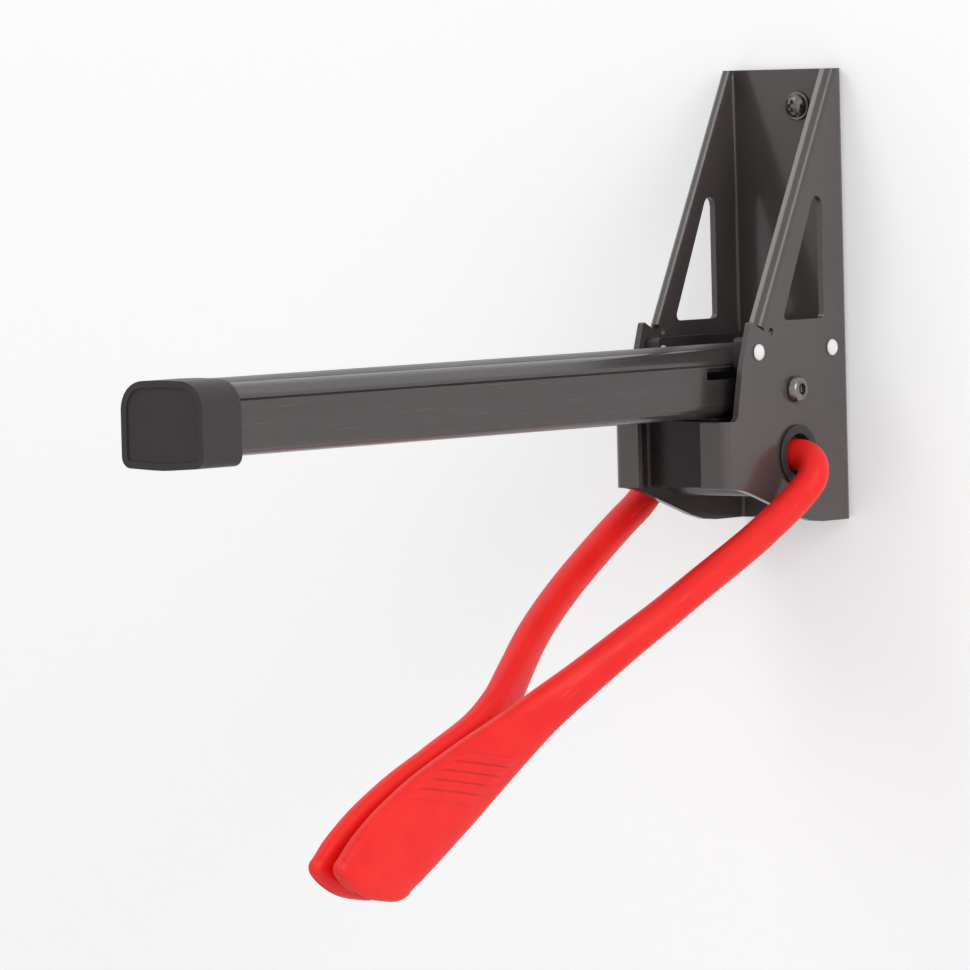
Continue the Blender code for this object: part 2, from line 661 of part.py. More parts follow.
def build_pivot(steel, dark):
    """The bolt through both cheeks, its sleeve between them, and the washer and nut on the left."""
    place = across(PIVOT_DEPTH, 0)
    under = CHEEK_OUT + GAP
    head = BOLT_HEAD / 2
    shank = BOLT_SHANK / 2
    end = -(CHEEK_OUT + GAP + PIVOT_WASHER_THICK + GAP + NUT_HEIGHT + BOLT_PAST_NUT)
    rise = BOLT_HEAD_HEIGHT
    crown = [(head * 0.62, under + rise), (head * 0.80, under + rise * 0.88),
             (head * 0.93, under + rise * 0.62), (head, under + rise * 0.25), (head, under)]
    tail = [(shank, under), (shank, end + 0.0006), (shank - 0.0006, end), (0, end)]
    profile = [(0, under + rise)] + crown + tail
    bolt = turned("pivot_bolt", profile, place)
    combine(bolt, prism("socket", BOLT_SOCKET, under + rise - BOLT_SOCKET_DEPTH, under + rise + 0.001,
                        place, CUTTERS))
    finish(bolt, steel)
    washer_low = -(CHEEK_OUT + GAP + PIVOT_WASHER_THICK)
    washer = ring_profile(PIVOT_WASHER_OUTSIDE, BOLT_SHANK + SLACK, washer_low, -CHEEK_OUT - GAP, 0.0003)
    finish(turned("pivot_washer", washer, place, True), steel)
    nut_high = washer_low - GAP
    nut = prism("pivot_nut", NUT_FLATS, nut_high - NUT_HEIGHT, nut_high, place)
    turn = NUT_FLATS / math.sqrt(3)
    ease = 0.0009
    shape = [(0, nut_high), (turn - ease, nut_high), (turn + 0.0001, nut_high - ease),
             (turn + 0.0001, nut_high - NUT_HEIGHT + ease), (turn - ease, nut_high - NUT_HEIGHT),
             (0, nut_high - NUT_HEIGHT)]
    combine(nut, turned("nut_shape", shape, place, steps=36, collection=CUTTERS), "INTERSECT")
    bore(nut, place, (BOLT_SHANK + SLACK, nut_high - NUT_HEIGHT - 0.001, nut_high + 0.001), steps=24)
    finish(nut, steel)
    sleeve = ring_profile(SLEEVE_OUTSIDE, SLEEVE_OUTSIDE - 2 * SLEEVE_WALL, -SLEEVE_HALF, SLEEVE_HALF, 0.0004)
    finish(turned("pivot_sleeve", sleeve, place, True, 28), dark)


def shoulder_corners(clear):
    """The two corners that round the bar's right shoulder, or the pocket round it at this clearance."""
    half = ARM_HALF + clear
    top = STRIP_EDGE_Z + clear
    return [(half - SHOULDER_LEAN, top - SHOULDER_LOW, SHOULDER_LOW_ROUND),
            (half - SHOULDER_SHARE * SHOULDER_SPAN, top - SHOULDER_FALL, SHOULDER_ROUNDNESS * SHOULDER_SPAN)]


def beam_outline():
    """The bar seen from its outer end, slot and seams included."""
    strip = STRIP_WIDTH / 2 + GAP
    neck = STRIP_NECK / 2 + GAP
    foot = STRIP_FOOT / 2 + GAP
    seam = ARM_TOP - SEAM_BELOW_CROWN
    half_seam = SEAM_WIDTH / 2
    right = [
        (ARM_HALF, -ARM_BOTTOM, ARM_LOWER_ROUND),
        (ARM_HALF, seam - half_seam, 0), (ARM_HALF - SEAM_DEPTH, seam, 0), (ARM_HALF, seam + half_seam, 0),
        *shoulder_corners(0.0),
        (strip, STRIP_EDGE_Z, 0.0003),
        (strip, STRIP_LEDGE_Z - GAP, 0), (neck, STRIP_LEDGE_Z - GAP, 0), (neck, LIP_Z, 0),
        (foot, LIP_Z, 0), (foot, FOOT_FLOOR_Z, 0),
    ]
    left = [(-u, v, radius) for u, v, radius in reversed(right)]
    return rounded(right + left)


def chamber_outline():
    half = ARM_HALF - ARM_WALL
    low = -ARM_BOTTOM + ARM_WALL
    inner = ARM_LOWER_ROUND - ARM_WALL
    return rounded([(half, low, inner), (half, CHAMBER_TOP, 0.001), (-half, CHAMBER_TOP, 0.001),
                    (-half, low, inner)], math.radians(30))


def build_beam(material, parent):
    root = PIVOT_DEPTH - ARM_ROOT
    beam = plate("arm_beam", [beam_outline(), chamber_outline()], root, BEAM_END, FRONT)
    bore(beam, across(PIVOT_DEPTH, 0), (BUSH_HOLE, -CHEEK_OUT, CHEEK_OUT))
    window = rounded([
        (-SIDE_SLOT_FRONT, SIDE_SLOT_BOTTOM, SIDE_SLOT_ROUND),
        (-SIDE_SLOT_REAR, SIDE_SLOT_BOTTOM, SIDE_SLOT_ROUND),
        (-SIDE_SLOT_REAR, SIDE_SLOT_TOP, SIDE_SLOT_ROUND),
        (-SIDE_SLOT_FRONT, SIDE_SLOT_TOP, SIDE_SLOT_ROUND),
    ], math.radians(30))
    inner = ARM_HALF - SIDE_SLOT_CUT
    outer = ARM_HALF + CUT_PAST
    combine(beam, plate("slot", [window], inner, outer, SIDE, CUTTERS))
    combine(beam, plate("slot", [window], -outer, -inner, SIDE, CUTTERS))
    return finish(beam, material, parent, angle=24.0)


def build_strip(material, parent):
    """The soft strip along the bar's top: a crowned upper part on a neck and a foot."""
    top = STRIP_WIDTH / 2
    flat = STRIP_FLAT / 2
    neck = STRIP_NECK / 2
    foot = STRIP_FOOT / 2
    under = LIP_Z - GAP
    right = [(foot, under - STRIP_FOOT_THICK + GAP, 0.0004), (foot, under, 0), (neck, under, 0),
             (neck, STRIP_LEDGE_Z, 0), (top, STRIP_LEDGE_Z, 0), (top, STRIP_EDGE_Z, 0.0008),
             (flat, ARM_TOP, 0.020)]
    left = [(-u, v, radius) for u, v, radius in reversed(right)]
    root = PIVOT_DEPTH - ARM_ROOT + 0.001
    strip = plate("arm_pad", [rounded(right + left, math.radians(6))], root, CAP_REAR - GAP, FRONT)
    return finish(strip, material, parent, angle=24.0)


def cap_outline(inset=0.0):
    half = CAP_WIDTH / 2 - inset
    top = CAP_TOP - inset
    low = -CAP_BOTTOM + inset
    upper = CAP_UPPER_ROUND - inset
    lower = CAP_LOWER_ROUND - inset
    return rounded([(half, low + CAP_BOW, lower), (half, top - 0.0006, upper), (0, top, 0.060),
                    (-half, top - 0.0006, upper), (-half, low + CAP_BOW, lower), (0, low, 0.080)],
                   math.radians(11))


def pocket_outline():
    """The bar's outer shape with clearance, its slot and seams bridged."""
    half = ARM_HALF + GAP
    right = [
        (half, -ARM_BOTTOM - GAP, ARM_LOWER_ROUND + GAP),
        (half, ARM_TOP - SEAM_BELOW_CROWN + SEAM_WIDTH / 2, 0),
        *shoulder_corners(GAP),
        (STRIP_WIDTH / 2 + GAP, STRIP_EDGE_Z + GAP, 0.0005),
    ]
    left = [(-u, v, radius) for u, v, radius in reversed(right)]
    return rounded(right + left)


def build_cap(material, parent):
    """The cap: a sleeve over the bar's end with a dished face, and a spigot inside the bar."""
    cap = plate("end_cap", [cap_outline()], CAP_REAR, ARM_REACH, FRONT)
    bevel = cap.modifiers.new("Rounded rim", "BEVEL")
    bevel.width = CAP_EDGE_ROUND
    bevel.segments = 3
    bevel.limit_method = "ANGLE"
    bevel.angle_limit = math.radians(40)
    floor = ARM_REACH - CAP_FACE
    combine(cap, plate("pocket", [pocket_outline()], CAP_REAR - CUT_PAST, floor, FRONT, CUTTERS))
    dish = plate("dish", [cap_outline(CAP_RIM)], ARM_REACH - CAP_DISH, ARM_REACH + CUT_PAST, FRONT, CUTTERS)
    combine(cap, dish)
    half = ARM_HALF - ARM_WALL - GAP
    low = -ARM_BOTTOM + ARM_WALL + GAP
    high = CHAMBER_TOP - GAP
    wall = SPIGOT_WALL
    outer = rounded([(half, low, 0.0035), (half, high, 0.001), (-half, high, 0.001), (-half, low, 0.0035)],
                    math.radians(30))
    inner = rounded([(half - wall, low + wall, 0.002), (half - wall, high - wall, 0.001),
                     (-half + wall, high - wall, 0.001), (-half + wall, low + wall, 0.002)], math.radians(30))
    spigot = plate("spigot", [outer, inner], floor - SPIGOT_LENGTH, floor + 0.0005, FRONT, CUTTERS)
    combine(cap, spigot, "UNION")
    return finish(cap, material, parent, angle=28.0)


def build_plug(material, parent):
    """Fills the bar's root and holds the two bushes."""
    half = ARM_HALF - ARM_WALL - GAP
    low = -ARM_BOTTOM + ARM_WALL + GAP
    high = CHAMBER_TOP - GAP
    root = PIVOT_DEPTH - ARM_ROOT + GAP
    outline = rounded([(half, low, 0.0035), (half, high, 0.001), (-half, high, 0.001), (-half, low, 0.0035)],
                      math.radians(30))
    plug = plate("root_plug", [outline], root, root + PLUG_LENGTH, FRONT)
    inner = ARM_HALF - GAP - BUSH_LENGTH - GAP
    bore(plug, across(PIVOT_DEPTH, 0), (BUSH_HOLE, inner, CHEEK_OUT), (BUSH_BORE, -inner, inner),
         (BUSH_HOLE, -CHEEK_OUT, -inner))
    return finish(plug, material, parent)


def build_bush(name, side, material, parent):
    outer = ARM_HALF - GAP
    ends = sorted((side * outer, side * (outer - BUSH_LENGTH)))
    bush = turned(name, ring_profile(BUSH_OUTSIDE, BUSH_BORE, *ends), across(PIVOT_DEPTH, 0), True)
    return finish(bush, material, parent)


def build_grommet(name, material):
    """The right-hand grommet: flange outside the cheek, wide mouth, and a bearing bore behind it."""
    flange_low = CHEEK_OUT + GAP
    flange_high = flange_low + GROMMET_FLANGE_THICK
    low = flange_low - GROMMET_LENGTH
    flange = GROMMET_FLANGE / 2
    body = GROMMET_BODY / 2
    mouth = GROMMET_MOUTH / 2
    bearing = TUBE / 2 + GAP
    profile = [
        (mouth + 0.0005, flange_high), (flange - 0.0007, flange_high), (flange, flange_high - 0.0006),
        (flange, flange_low), (body, flange_low), (body, low), (bearing, low),
        (bearing, flange_high - GROMMET_MOUTH_DEPTH), (mouth, flange_high - GROMMET_MOUTH_DEPTH),
        (mouth, flange_high - 0.0005)]
    grommet = turned(name, profile, across(AXLE_DEPTH, -AXLE_DROP), True, 32)
    return finish(grommet, material)


def build_axle(steel, plastic, parent):
    place = across(AXLE_DEPTH, -AXLE_DROP)
    reach = SPACER_LENGTH / 2 + GAP + AXLE_IN_ARM
    finish(rod("steady_axle", AXLE_DIAMETER, -reach, reach, place), steel, parent)
    half = SPACER_LENGTH / 2
    profile = ring_profile(SPACER_OUTSIDE, AXLE_DIAMETER + 2 * GAP, -half, half, 0.0004)
    finish(turned("axle_spacer", profile, place, True, 28), plastic, parent)


def ease(value):
    """Goes smoothly from 0 to 1."""
    value = min(1.0, max(0.0, value))
    return value * value * (3 - 2 * value)


def bend_stations():
    """The round tube from its inner end, out of the grommet and round the bend."""
    stations = []
    for x in (SPACER_LENGTH / 2 + GAP, (SPACER_LENGTH / 2 + BEND_START) / 2):
        stations.append(Vector((x, 0, 0, TUBE, TUBE)))
    turns = 7
    for number in range(turns + 1):
        angle = math.pi / 2 * number / turns
        ahead = BEND_OUT * (1 - math.cos(angle))
        stations.append(Vector((BEND_START + BEND_OUT * math.sin(angle), ahead * math.cos(BEND_SLOPE),
                                ahead * math.sin(BEND_SLOPE), TUBE, TUBE)))
    return stations


def spline(points, pieces, heading):
    """A smooth curve that leaves along the heading, each stretch between points cut into so many pieces."""
    lead = heading * 2 * (points[1] - points[0]).length
    ends = [points[1] - lead] + points + [points[-1] * 2 - points[-2]]
    found = []
    for index in range(1, len(ends) - 2):
        before, start, end, after = ends[index - 1:index + 3]
        for number in range(pieces):
            t = number / pieces
            found.append(0.5 * (2 * start + (end - before) * t
                                + (2 * before - 5 * start + 4 * end - after) * t * t
                                + (3 * start - before - 3 * end + after) * t * t * t))
    found.append(points[-1].copy())
    return found


def run_stations(run):
    """Stations along the run with the ribs' crests and valleys, each with its swell."""
    smooth = RIB_FROM - run[0][1]
    plain = [(run[0][1] + smooth * (n / RUN_RINGS) ** RUN_CROWDING, 0.0) for n in range(RUN_RINGS)]
    ribs = [(RIB_FROM + RIB_PITCH / 2 * n, RIB_HEIGHT * (n % 2)) for n in range(2 * RIB_COUNT + 1)]
    rest = run[-1][1] - ribs[-1][0]
    after = [(ribs[-1][0] + rest * n / PADDLE_RINGS, 0.0) for n in range(1, PADDLE_RINGS + 1)]
    found = []
    for forward, swell in plain + ribs + after:
        index = max(n for n in range(len(run) - 1) if run[n][1] <= forward or n == 0)
        start, end = run[index], run[index + 1]
        found.append((start.lerp(end, (forward - start[1]) / (end[1] - start[1])), swell))
    return found


def ring(station, tangent, skew, bow, square, swell):
    """One section of a steadying arm: a rounded outline whose upper edge may lead."""
    centre = Vector((station[0], -station[1], -station[2]))
    tilt = Vector((0, -math.sin(WIDTH_TILT), math.cos(WIDTH_TILT)))
    flat = tilt.cross(tangent).normalized()
    wide = tangent.cross(flat).normalized()
    half_width = station[3] / 2
    half_thick = station[4] / 2
    points = []
    for number in range(RING_POINTS):
        angle = 2 * math.pi * number / RING_POINTS
        cosine = math.cos(angle)
        sine = math.sin(angle)
        across_width = math.copysign(abs(cosine) ** (2 / square), cosine) * half_width
        through = math.copysign(abs(sine) ** (2 / square), sine) * half_thick
        share = across_width / half_width
        if through > 0:
            through += swell * (1 - share ** 4)
        lead = skew * across_width + bow * (1 - share * share)
        points.append(centre + wide * across_width + flat * through + tangent * lead)
    return points


def loft(name, rings):
    """Closes a row of rings into one solid."""
    shape = bmesh.new()
    rows = [[shape.verts.new(point) for point in one] for one in rings]
    for first, second in zip(rows, rows[1:]):
        for number in range(RING_POINTS):
            after = (number + 1) % RING_POINTS
            shape.faces.new((first[number], first[after], second[after], second[number]))
    shape.faces.new(rows[0])
    shape.faces.new(reversed(rows[-1]))
    bmesh.ops.recalc_face_normals(shape, faces=shape.faces)
    bmesh.ops.triangulate(shape, faces=[face for face in shape.faces if len(face.verts) > 4])
    mesh = bpy.data.meshes.new(name)
    shape.to_mesh(mesh)
    shape.free()
    return mesh


def build_steady_arm(material, parent):
    """The right-hand red arm: tube, bend, tapering run and ribbed paddle."""
    bend = bend_stations()
    heading = Vector((0, math.cos(BEND_SLOPE), math.sin(BEND_SLOPE), 0, 0))
    run = spline([bend[-1]] + [Vector(station) for station in STATIONS], 8, heading)
    path = [(station, 0.0) for station in bend[:-1]] + run_stations(run)
    rings = []
    for index, (station, swell) in enumerate(path):
        before = path[max(0, index - 1)][0]
        after = path[min(len(path) - 1, index + 1)][0]
        step = after - before
        tangent = Vector((step[0], -step[1], -step[2])).normalized()
        share = ease((station[1] - PADDLE_FROM) / (PADDLE_FULL - PADDLE_FROM))
        rings.append(ring(station, tangent, PADDLE_SKEW * share, PADDLE_BOW * share,
                          2 + (PADDLE_SQUARE - 2) * share, swell))
    rings += tip_rings([station for station, _ in path])
    mesh = loft("steady_arm_right", rings)
    item = add_mesh("steady_arm_right", mesh, Matrix.Translation((0, -AXLE_DEPTH, -AXLE_DROP)))
    socket = SPACER_LENGTH / 2 + GAP + AXLE_IN_ARM + GAP
    bore(item, across(AXLE_DEPTH, -AXLE_DROP), (AXLE_DIAMETER + 2 * GAP, 0, socket), steps=20)
    return finish(item, material, parent, angle=50.0)


def tip_rings(path):
    """Rounds the paddle's end off."""
    last = path[-1]
    step = last - path[-2]
    tangent = Vector((step[0], -step[1], -step[2])).normalized()
    rings = []
    for angle in (30, 55, 75, 86):
        turn = math.radians(angle)
        station = last.copy()
        ahead = TIP_ROUND * math.sin(turn)
        station[0] += tangent.x * ahead
        station[1] -= tangent.y * ahead
        station[2] -= tangent.z * ahead
        station[3] = last[3] - 2 * TIP_ROUND * (1 - math.cos(turn))
        station[4] = last[4] * max(0.12, math.cos(turn))
        rings.append(ring(station, tangent, PADDLE_SKEW, PADDLE_BOW, PADDLE_SQUARE, 0.0))
    return rings


def main():
    bracket_paint = new_material("bracket_paint", (0.035, 0.030, 0.028), 0.28)
    bar_paint = new_material("bar_paint", (0.020, 0.018, 0.018), 0.20)
    dark_plastic = new_material("dark_plastic", (0.045, 0.042, 0.042), 0.45)
    block_plastic = new_material("block_plastic", (0.035, 0.030, 0.030), 0.35)
    dark_rubber = new_material("dark_rubber", (0.025, 0.024, 0.024), 0.70)
    red_rubber = new_material("red_rubber", (0.80, 0.045, 0.035), 0.50)
    white_plastic = new_material("white_plastic", (0.85, 0.85, 0.83), 0.35)
    pale_bush = new_material("pale_bush", (0.70, 0.68, 0.62), 0.45)
    dark_steel = new_material("dark_steel", (0.10, 0.095, 0.09), 0.35, 1.0)
    bright_steel = new_material("bright_steel", (0.60, 0.60, 0.60), 0.30, 1.0)

    arm_axis = new_empty("arm_axis", (0, -PIVOT_DEPTH, 0))
    steady_axis = new_empty("steady_axis", (0, -AXLE_DEPTH, -AXLE_DROP))

    build_bracket(bracket_paint)
    for name, (side, height) in zip(("upper", "lower"), screw_places()):
        build_wall_screw("wall_screw_" + name, side, height, dark_steel)
        build_wall_washer("wall_washer_" + name, side, height, dark_steel)
    mirrored(build_guide("side_guide_right", dark_plastic), "side_guide_left", dark_plastic)
    for name, depth in (("front", RIVET_FRONT), ("rear", RIVET_REAR)):
        rivet = build_rivet("guide_rivet_right_" + name, depth, white_plastic)
        mirrored(rivet, "guide_rivet_left_" + name, white_plastic)
    build_block(block_plastic)
    build_stop_pad(dark_rubber)
    build_pivot(dark_steel, bright_steel)
    mirrored(build_grommet("grommet_right", dark_plastic), "grommet_left", dark_plastic)

    build_beam(bar_paint, arm_axis)
    build_strip(dark_rubber, arm_axis)
    build_cap(dark_plastic, arm_axis)
    build_plug(dark_plastic, arm_axis)
    build_bush("pivot_bush_right", 1, pale_bush, arm_axis)
    build_bush("pivot_bush_left", -1, pale_bush, arm_axis)

    build_axle(bright_steel, dark_plastic, steady_axis)
    right = build_steady_arm(red_rubber, steady_axis)
    mirrored(right, "steady_arm_left", red_rubber, steady_axis)


clear_scene()
PIECES = new_collection("wall_bike_holder")
CUTTERS = new_collection("cutters")
CUTTERS.hide_render = True
main()
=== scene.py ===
# %% [markdown]
# # Wall bike holder: the looks
#
# A folded steel bracket hangs on the wall. A padded bar folds down from it, and two red rubber arms come out
# of its sides. The measured solids come from a fixed frame. This file dresses them: it rounds their edges,
# rebuilds the forms that need more detail, paints everything with node materials, and sets the wall, the
# light and the camera. All sizes are in metres, +Z is up, and the room lies towards -Y.

# %% Load the frame
import math

import bmesh
import bpy
from mathutils import Matrix, Vector


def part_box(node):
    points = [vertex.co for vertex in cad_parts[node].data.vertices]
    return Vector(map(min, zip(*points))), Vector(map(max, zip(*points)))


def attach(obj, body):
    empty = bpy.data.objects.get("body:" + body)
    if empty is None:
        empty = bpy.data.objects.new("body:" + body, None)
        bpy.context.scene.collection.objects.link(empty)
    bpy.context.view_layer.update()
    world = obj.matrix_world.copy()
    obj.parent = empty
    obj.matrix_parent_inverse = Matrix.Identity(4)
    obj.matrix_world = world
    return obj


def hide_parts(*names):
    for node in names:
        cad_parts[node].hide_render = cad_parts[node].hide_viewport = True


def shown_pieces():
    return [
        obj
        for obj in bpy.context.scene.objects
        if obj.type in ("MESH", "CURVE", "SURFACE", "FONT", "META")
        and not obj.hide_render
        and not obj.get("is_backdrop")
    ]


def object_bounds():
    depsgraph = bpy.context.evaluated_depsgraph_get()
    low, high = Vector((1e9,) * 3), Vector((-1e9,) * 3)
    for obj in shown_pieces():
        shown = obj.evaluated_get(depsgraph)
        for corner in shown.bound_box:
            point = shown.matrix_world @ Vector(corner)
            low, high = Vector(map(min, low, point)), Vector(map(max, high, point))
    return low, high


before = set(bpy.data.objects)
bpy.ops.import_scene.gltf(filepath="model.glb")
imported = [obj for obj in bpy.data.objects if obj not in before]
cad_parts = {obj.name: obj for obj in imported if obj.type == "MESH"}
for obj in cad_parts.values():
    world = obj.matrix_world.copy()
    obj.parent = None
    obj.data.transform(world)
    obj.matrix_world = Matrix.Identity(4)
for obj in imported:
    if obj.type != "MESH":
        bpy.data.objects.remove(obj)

CAD_LOW, CAD_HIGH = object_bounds()

# %% [markdown]
# ## Writing a finish as a sum
#
# A material is a small sum over the surface: a base colour, plus grain, plus wear. Nodes could be laid out
# one by one, but a sum is easier to read. So a `Wire` holds one output of a node, and adding or multiplying
# two wires adds the Math node that does it. The reflected forms let a plain number stand on the left, as in
# `1 - wear`, and `between` turns a range of values into a soft step from 0 to 1.

# %% Wires
class Wire:
    """One output of a node, which can be added, multiplied and taken from a number."""

    def __init__(self, finish, socket):
        self.finish = finish
        self.socket = socket

    def maths(self, operation, *values):
        return self.finish.node("ShaderNodeMath", {"operation": operation}, *values)

    def __add__(self, other):
        return self.maths("ADD", self, other)

    def __rsub__(self, other):
        return self.maths("SUBTRACT", other, self)

    def __mul__(self, other):
        return self.maths("MULTIPLY", self, other)

    __radd__ = __add__
    __rmul__ = __mul__

    def sine(self):
        return self.maths("SINE", self)

    def either(self, other):
        return self.maths("MAXIMUM", self, other)

    def between(self, low, high):
        """0 below low, 1 above high and smooth between them."""
        return self.finish.node("ShaderNodeMapRange", {"interpolation_type": "SMOOTHSTEP"}, self, low, high)


# %% [markdown]
# ## One method for every other node
#
# A `Finish` is a material that is being written. The world is a node tree too, so a Finish can write that as
# well. Its `node` method takes a node's type, its settings, and the values or wires of its sockets, in order
# or by name. Settings come first, because they decide which sockets a node has. Colours go through a Mix
# node, since a Math node would turn them grey.

# %% Finishes
class Finish:
    """A material or world that is being written. Its slot names its stuff in the solids."""

    def __init__(self, name, slot="", kind=None):
        self.made = (bpy.data.materials if kind is None else kind).new(name)
        self.made["slot"] = slot
        self.made.use_nodes = True
        self.tree = self.made.node_tree
        self.tree.nodes.clear()
        self.place = self.node("ShaderNodeTexCoord", out="Object")

    def node(self, kind, settings=None, *values, out=None, **named):
        node = self.tree.nodes.new(kind)
        for key, value in (settings or {}).items():
            setattr(node, key, value)
        sockets = [socket for socket in node.inputs if socket.enabled]
        by_name = {socket.name.replace(" ", "_"): socket for socket in reversed(sockets)}
        pairs = list(zip(sockets, values)) + [(by_name[key], value) for key, value in named.items()]
        for socket, value in pairs:
            self.feed(socket, value)
        given = [socket for socket in node.outputs if socket.enabled]
        if given:
            return Wire(self, node.outputs[out] if out else given[0])

    def feed(self, socket, value):
        if isinstance(value, Wire):
            self.tree.links.new(value.socket, socket)
        elif socket.type == "RGBA":
            socket.default_value = (*value, 1.0)
        else:
            socket.default_value = value

    def mix(self, share, first, second):
        """first where share is 0 and second where it is 1, for colours."""
        return self.node("ShaderNodeMix", {"data_type": "RGBA"}, share, first, second)

    def shade(self, **values):
        """Closes the material with a Principled shader, its fixed values set on its own sockets."""
        shader = self.node("ShaderNodeBsdfPrincipled", None, **values)
        self.node("ShaderNodeOutputMaterial", None, shader)
        return self.made


# %% [markdown]
# ## Grain, bumps and worn edges
#
# Three helpers serve every finish. `grain` is noise of a real size, in millimetres, that may be stretched
# along the bar. `relief` turns a height in millimetres into a bump. `edges` finds corners: the Bevel node
# looks round each point and averages the surface's direction, and where that differs from the true
# direction there is a corner. Wear, dust and thin paint all gather there.

# %% Shared helpers
def stretched(finish, x, y, z):
    """The object's own coordinates, scaled apart on each axis."""
    return finish.node("ShaderNodeVectorMath", {"operation": "MULTIPLY"}, finish.place, (x, y, z))


def grain(finish, size_mm, detail=3.0, stretch=(1, 1, 1), shift=0.0):
    """Noise about size_mm from spot to spot; a stretch of 0.02 draws it out 50 times along that axis."""
    where = stretched(finish, *stretch)
    if shift:
        where = finish.node("ShaderNodeVectorMath", {"operation": "ADD"}, where, (shift, shift, shift))
    return finish.node("ShaderNodeTexNoise", None, where, Scale=1000.0 / size_mm, Detail=detail)


def relief(finish, height_mm):
    """A bump from a height in millimetres."""
    return finish.node("ShaderNodeBump", None, Strength=1.0, Distance=0.001, Height=height_mm)


def edges(finish, radius_mm):
    """1 on corners and 0 on open faces."""
    averaged = finish.node("ShaderNodeBevel", {"samples": 4}, radius_mm / 1000)
    true = finish.node("ShaderNodeNewGeometry", out="Normal")
    facing = finish.node("ShaderNodeVectorMath", {"operation": "DOT_PRODUCT"}, averaged, true, out="Value")
    return (1 - facing).between(0.02, 0.22)


# %% [markdown]
# ## Powder coat on the steel bracket
#
# The real bracket is sheet steel under a glossy, almost black powder coat with a warm cast. Powder melts
# into a film that is never quite flat: it has a gentle "orange peel" a few millimetres across. One way is to
# model it, but it is only some microns high, so a bump is right. Paint pulls thin on edges, which therefore
# read a little lighter and are rubbed smooth. A few dust specks under the film break up the reflections.

# %% Bracket paint
def bracket_paint():
    finish = Finish("powder_coat", "bracket_paint")
    cloud = grain(finish, 38.0, 2.0)
    peel = grain(finish, 2.6, 1.5)
    speck = grain(finish, 0.9, 0.0, shift=3.0).between(0.74, 0.80)
    rub = edges(finish, 0.7) * grain(finish, 5.0, 4.0, shift=7.0).between(0.30, 0.62)
    colour = finish.mix(cloud, (0.064, 0.051, 0.0505), (0.080, 0.066, 0.0650))
    colour = finish.mix(rub * 0.55, colour, (0.15, 0.132, 0.128))
    height = peel * 0.010 + speck * 0.008
    rough = cloud * 0.05 + grain(finish, 0.5, 2.0) * 0.05 + 0.15 + rub * 0.10
    return finish.shade(Base_Color=colour, Roughness=rough, Normal=relief(finish, height),
                        IOR=1.45, Coat_Weight=0.20, Coat_Roughness=0.06)


# %% [markdown]
# ## The bar's dark anodised aluminium
#
# The bar is squeezed through a die, and the die leaves hair-fine lines along its whole length. Under the
# dark anodising they stay visible as a satin streak in every highlight. Noise that is drawn out 60 times
# along Y gives lines of the right kind, and it feeds both the roughness and a bump a micron or two high.

# %% Bar finish
def bar_paint():
    finish = Finish("dark_anodising", "bar_paint")
    along = (1, 0.016, 1)
    lines = grain(finish, 0.55, 3.0, along)
    bands = grain(finish, 6.0, 2.0, (1, 0.03, 1), shift=5.0)
    rub = edges(finish, 0.8) * grain(finish, 4.0, 3.0, (1, 0.1, 1), shift=2.0).between(0.35, 0.65)
    colour = finish.mix(bands, (0.046, 0.038, 0.0375), (0.066, 0.056, 0.0555))
    colour = finish.mix(lines.between(0.35, 0.75) * 0.25, colour, (0.088, 0.077, 0.076))
    colour = finish.mix(rub * 0.4, colour, (0.16, 0.15, 0.145))
    rough = lines * 0.16 + bands * 0.06 + 0.13
    return finish.shade(Base_Color=colour, Roughness=rough, Normal=relief(finish, lines * 0.0035),
                        Metallic=0.25, IOR=1.5, Coat_Weight=0.15, Coat_Roughness=0.12)


# %% [markdown]
# ## Moulded plastics
#
# The cap, the guides and the grommets are black nylon. Their moulds are spark-eroded, which prints a fine,
# even pebble on the plastic, about a third of a millimetre across. The stop block is a smoother moulding.
# One function writes both: the pebble's size, its depth and the gloss are what differs. Voronoi cells make
# rounder pebbles than noise does, so the pebble is a smooth Voronoi distance.

# %% Plastics
def moulded(slot, dark, light, pebble_mm, depth_mm, gloss, ior=1.5):
    """A grained plastic: dark and light are its colour in the valleys and on the crests."""
    finish = Finish("moulded_" + slot, slot)
    cells = finish.node("ShaderNodeTexVoronoi", {"feature": "SMOOTH_F1"}, finish.place,
                        Scale=1000.0 / pebble_mm, Smoothness=0.6, out="Distance")
    pebble = cells.between(0.05, 0.75)
    cloud = grain(finish, 14.0, 3.0)
    scuff = grain(finish, 1.1, 4.0, (1, 0.25, 1), shift=4.0).between(0.60, 0.72)
    rub = edges(finish, 0.8) * grain(finish, 3.5, 3.0, shift=9.0).between(0.3, 0.6)
    colour = finish.mix(cloud * 0.6 + pebble * 0.4, dark, light)
    colour = finish.mix(rub * 0.35 + scuff * 0.12, colour, tuple(2.6 * part for part in light))
    rough = pebble * 0.08 + cloud * 0.08 + (gloss - 0.08) + scuff * 0.06
    height = pebble * depth_mm + grain(finish, 0.12, 1.0) * (depth_mm * 0.3)
    return finish.shade(Base_Color=colour, Roughness=rough, Normal=relief(finish, height), IOR=ior)


def dark_plastic():
    return moulded("dark_plastic", (0.028, 0.0215, 0.022), (0.046, 0.037, 0.038), 0.42, 0.020, 0.44, 1.34)


def block_plastic():
    return moulded("block_plastic", (0.020, 0.0135, 0.014), (0.030, 0.0215, 0.022), 0.30, 0.006, 0.27, 1.32)


def white_plastic():
    return moulded("white_plastic", (0.80, 0.80, 0.79), (0.86, 0.86, 0.85), 0.35, 0.004, 0.30)


def pale_bush():
    return moulded("pale_bush", (0.62, 0.59, 0.53), (0.74, 0.72, 0.66), 0.25, 0.006, 0.45)


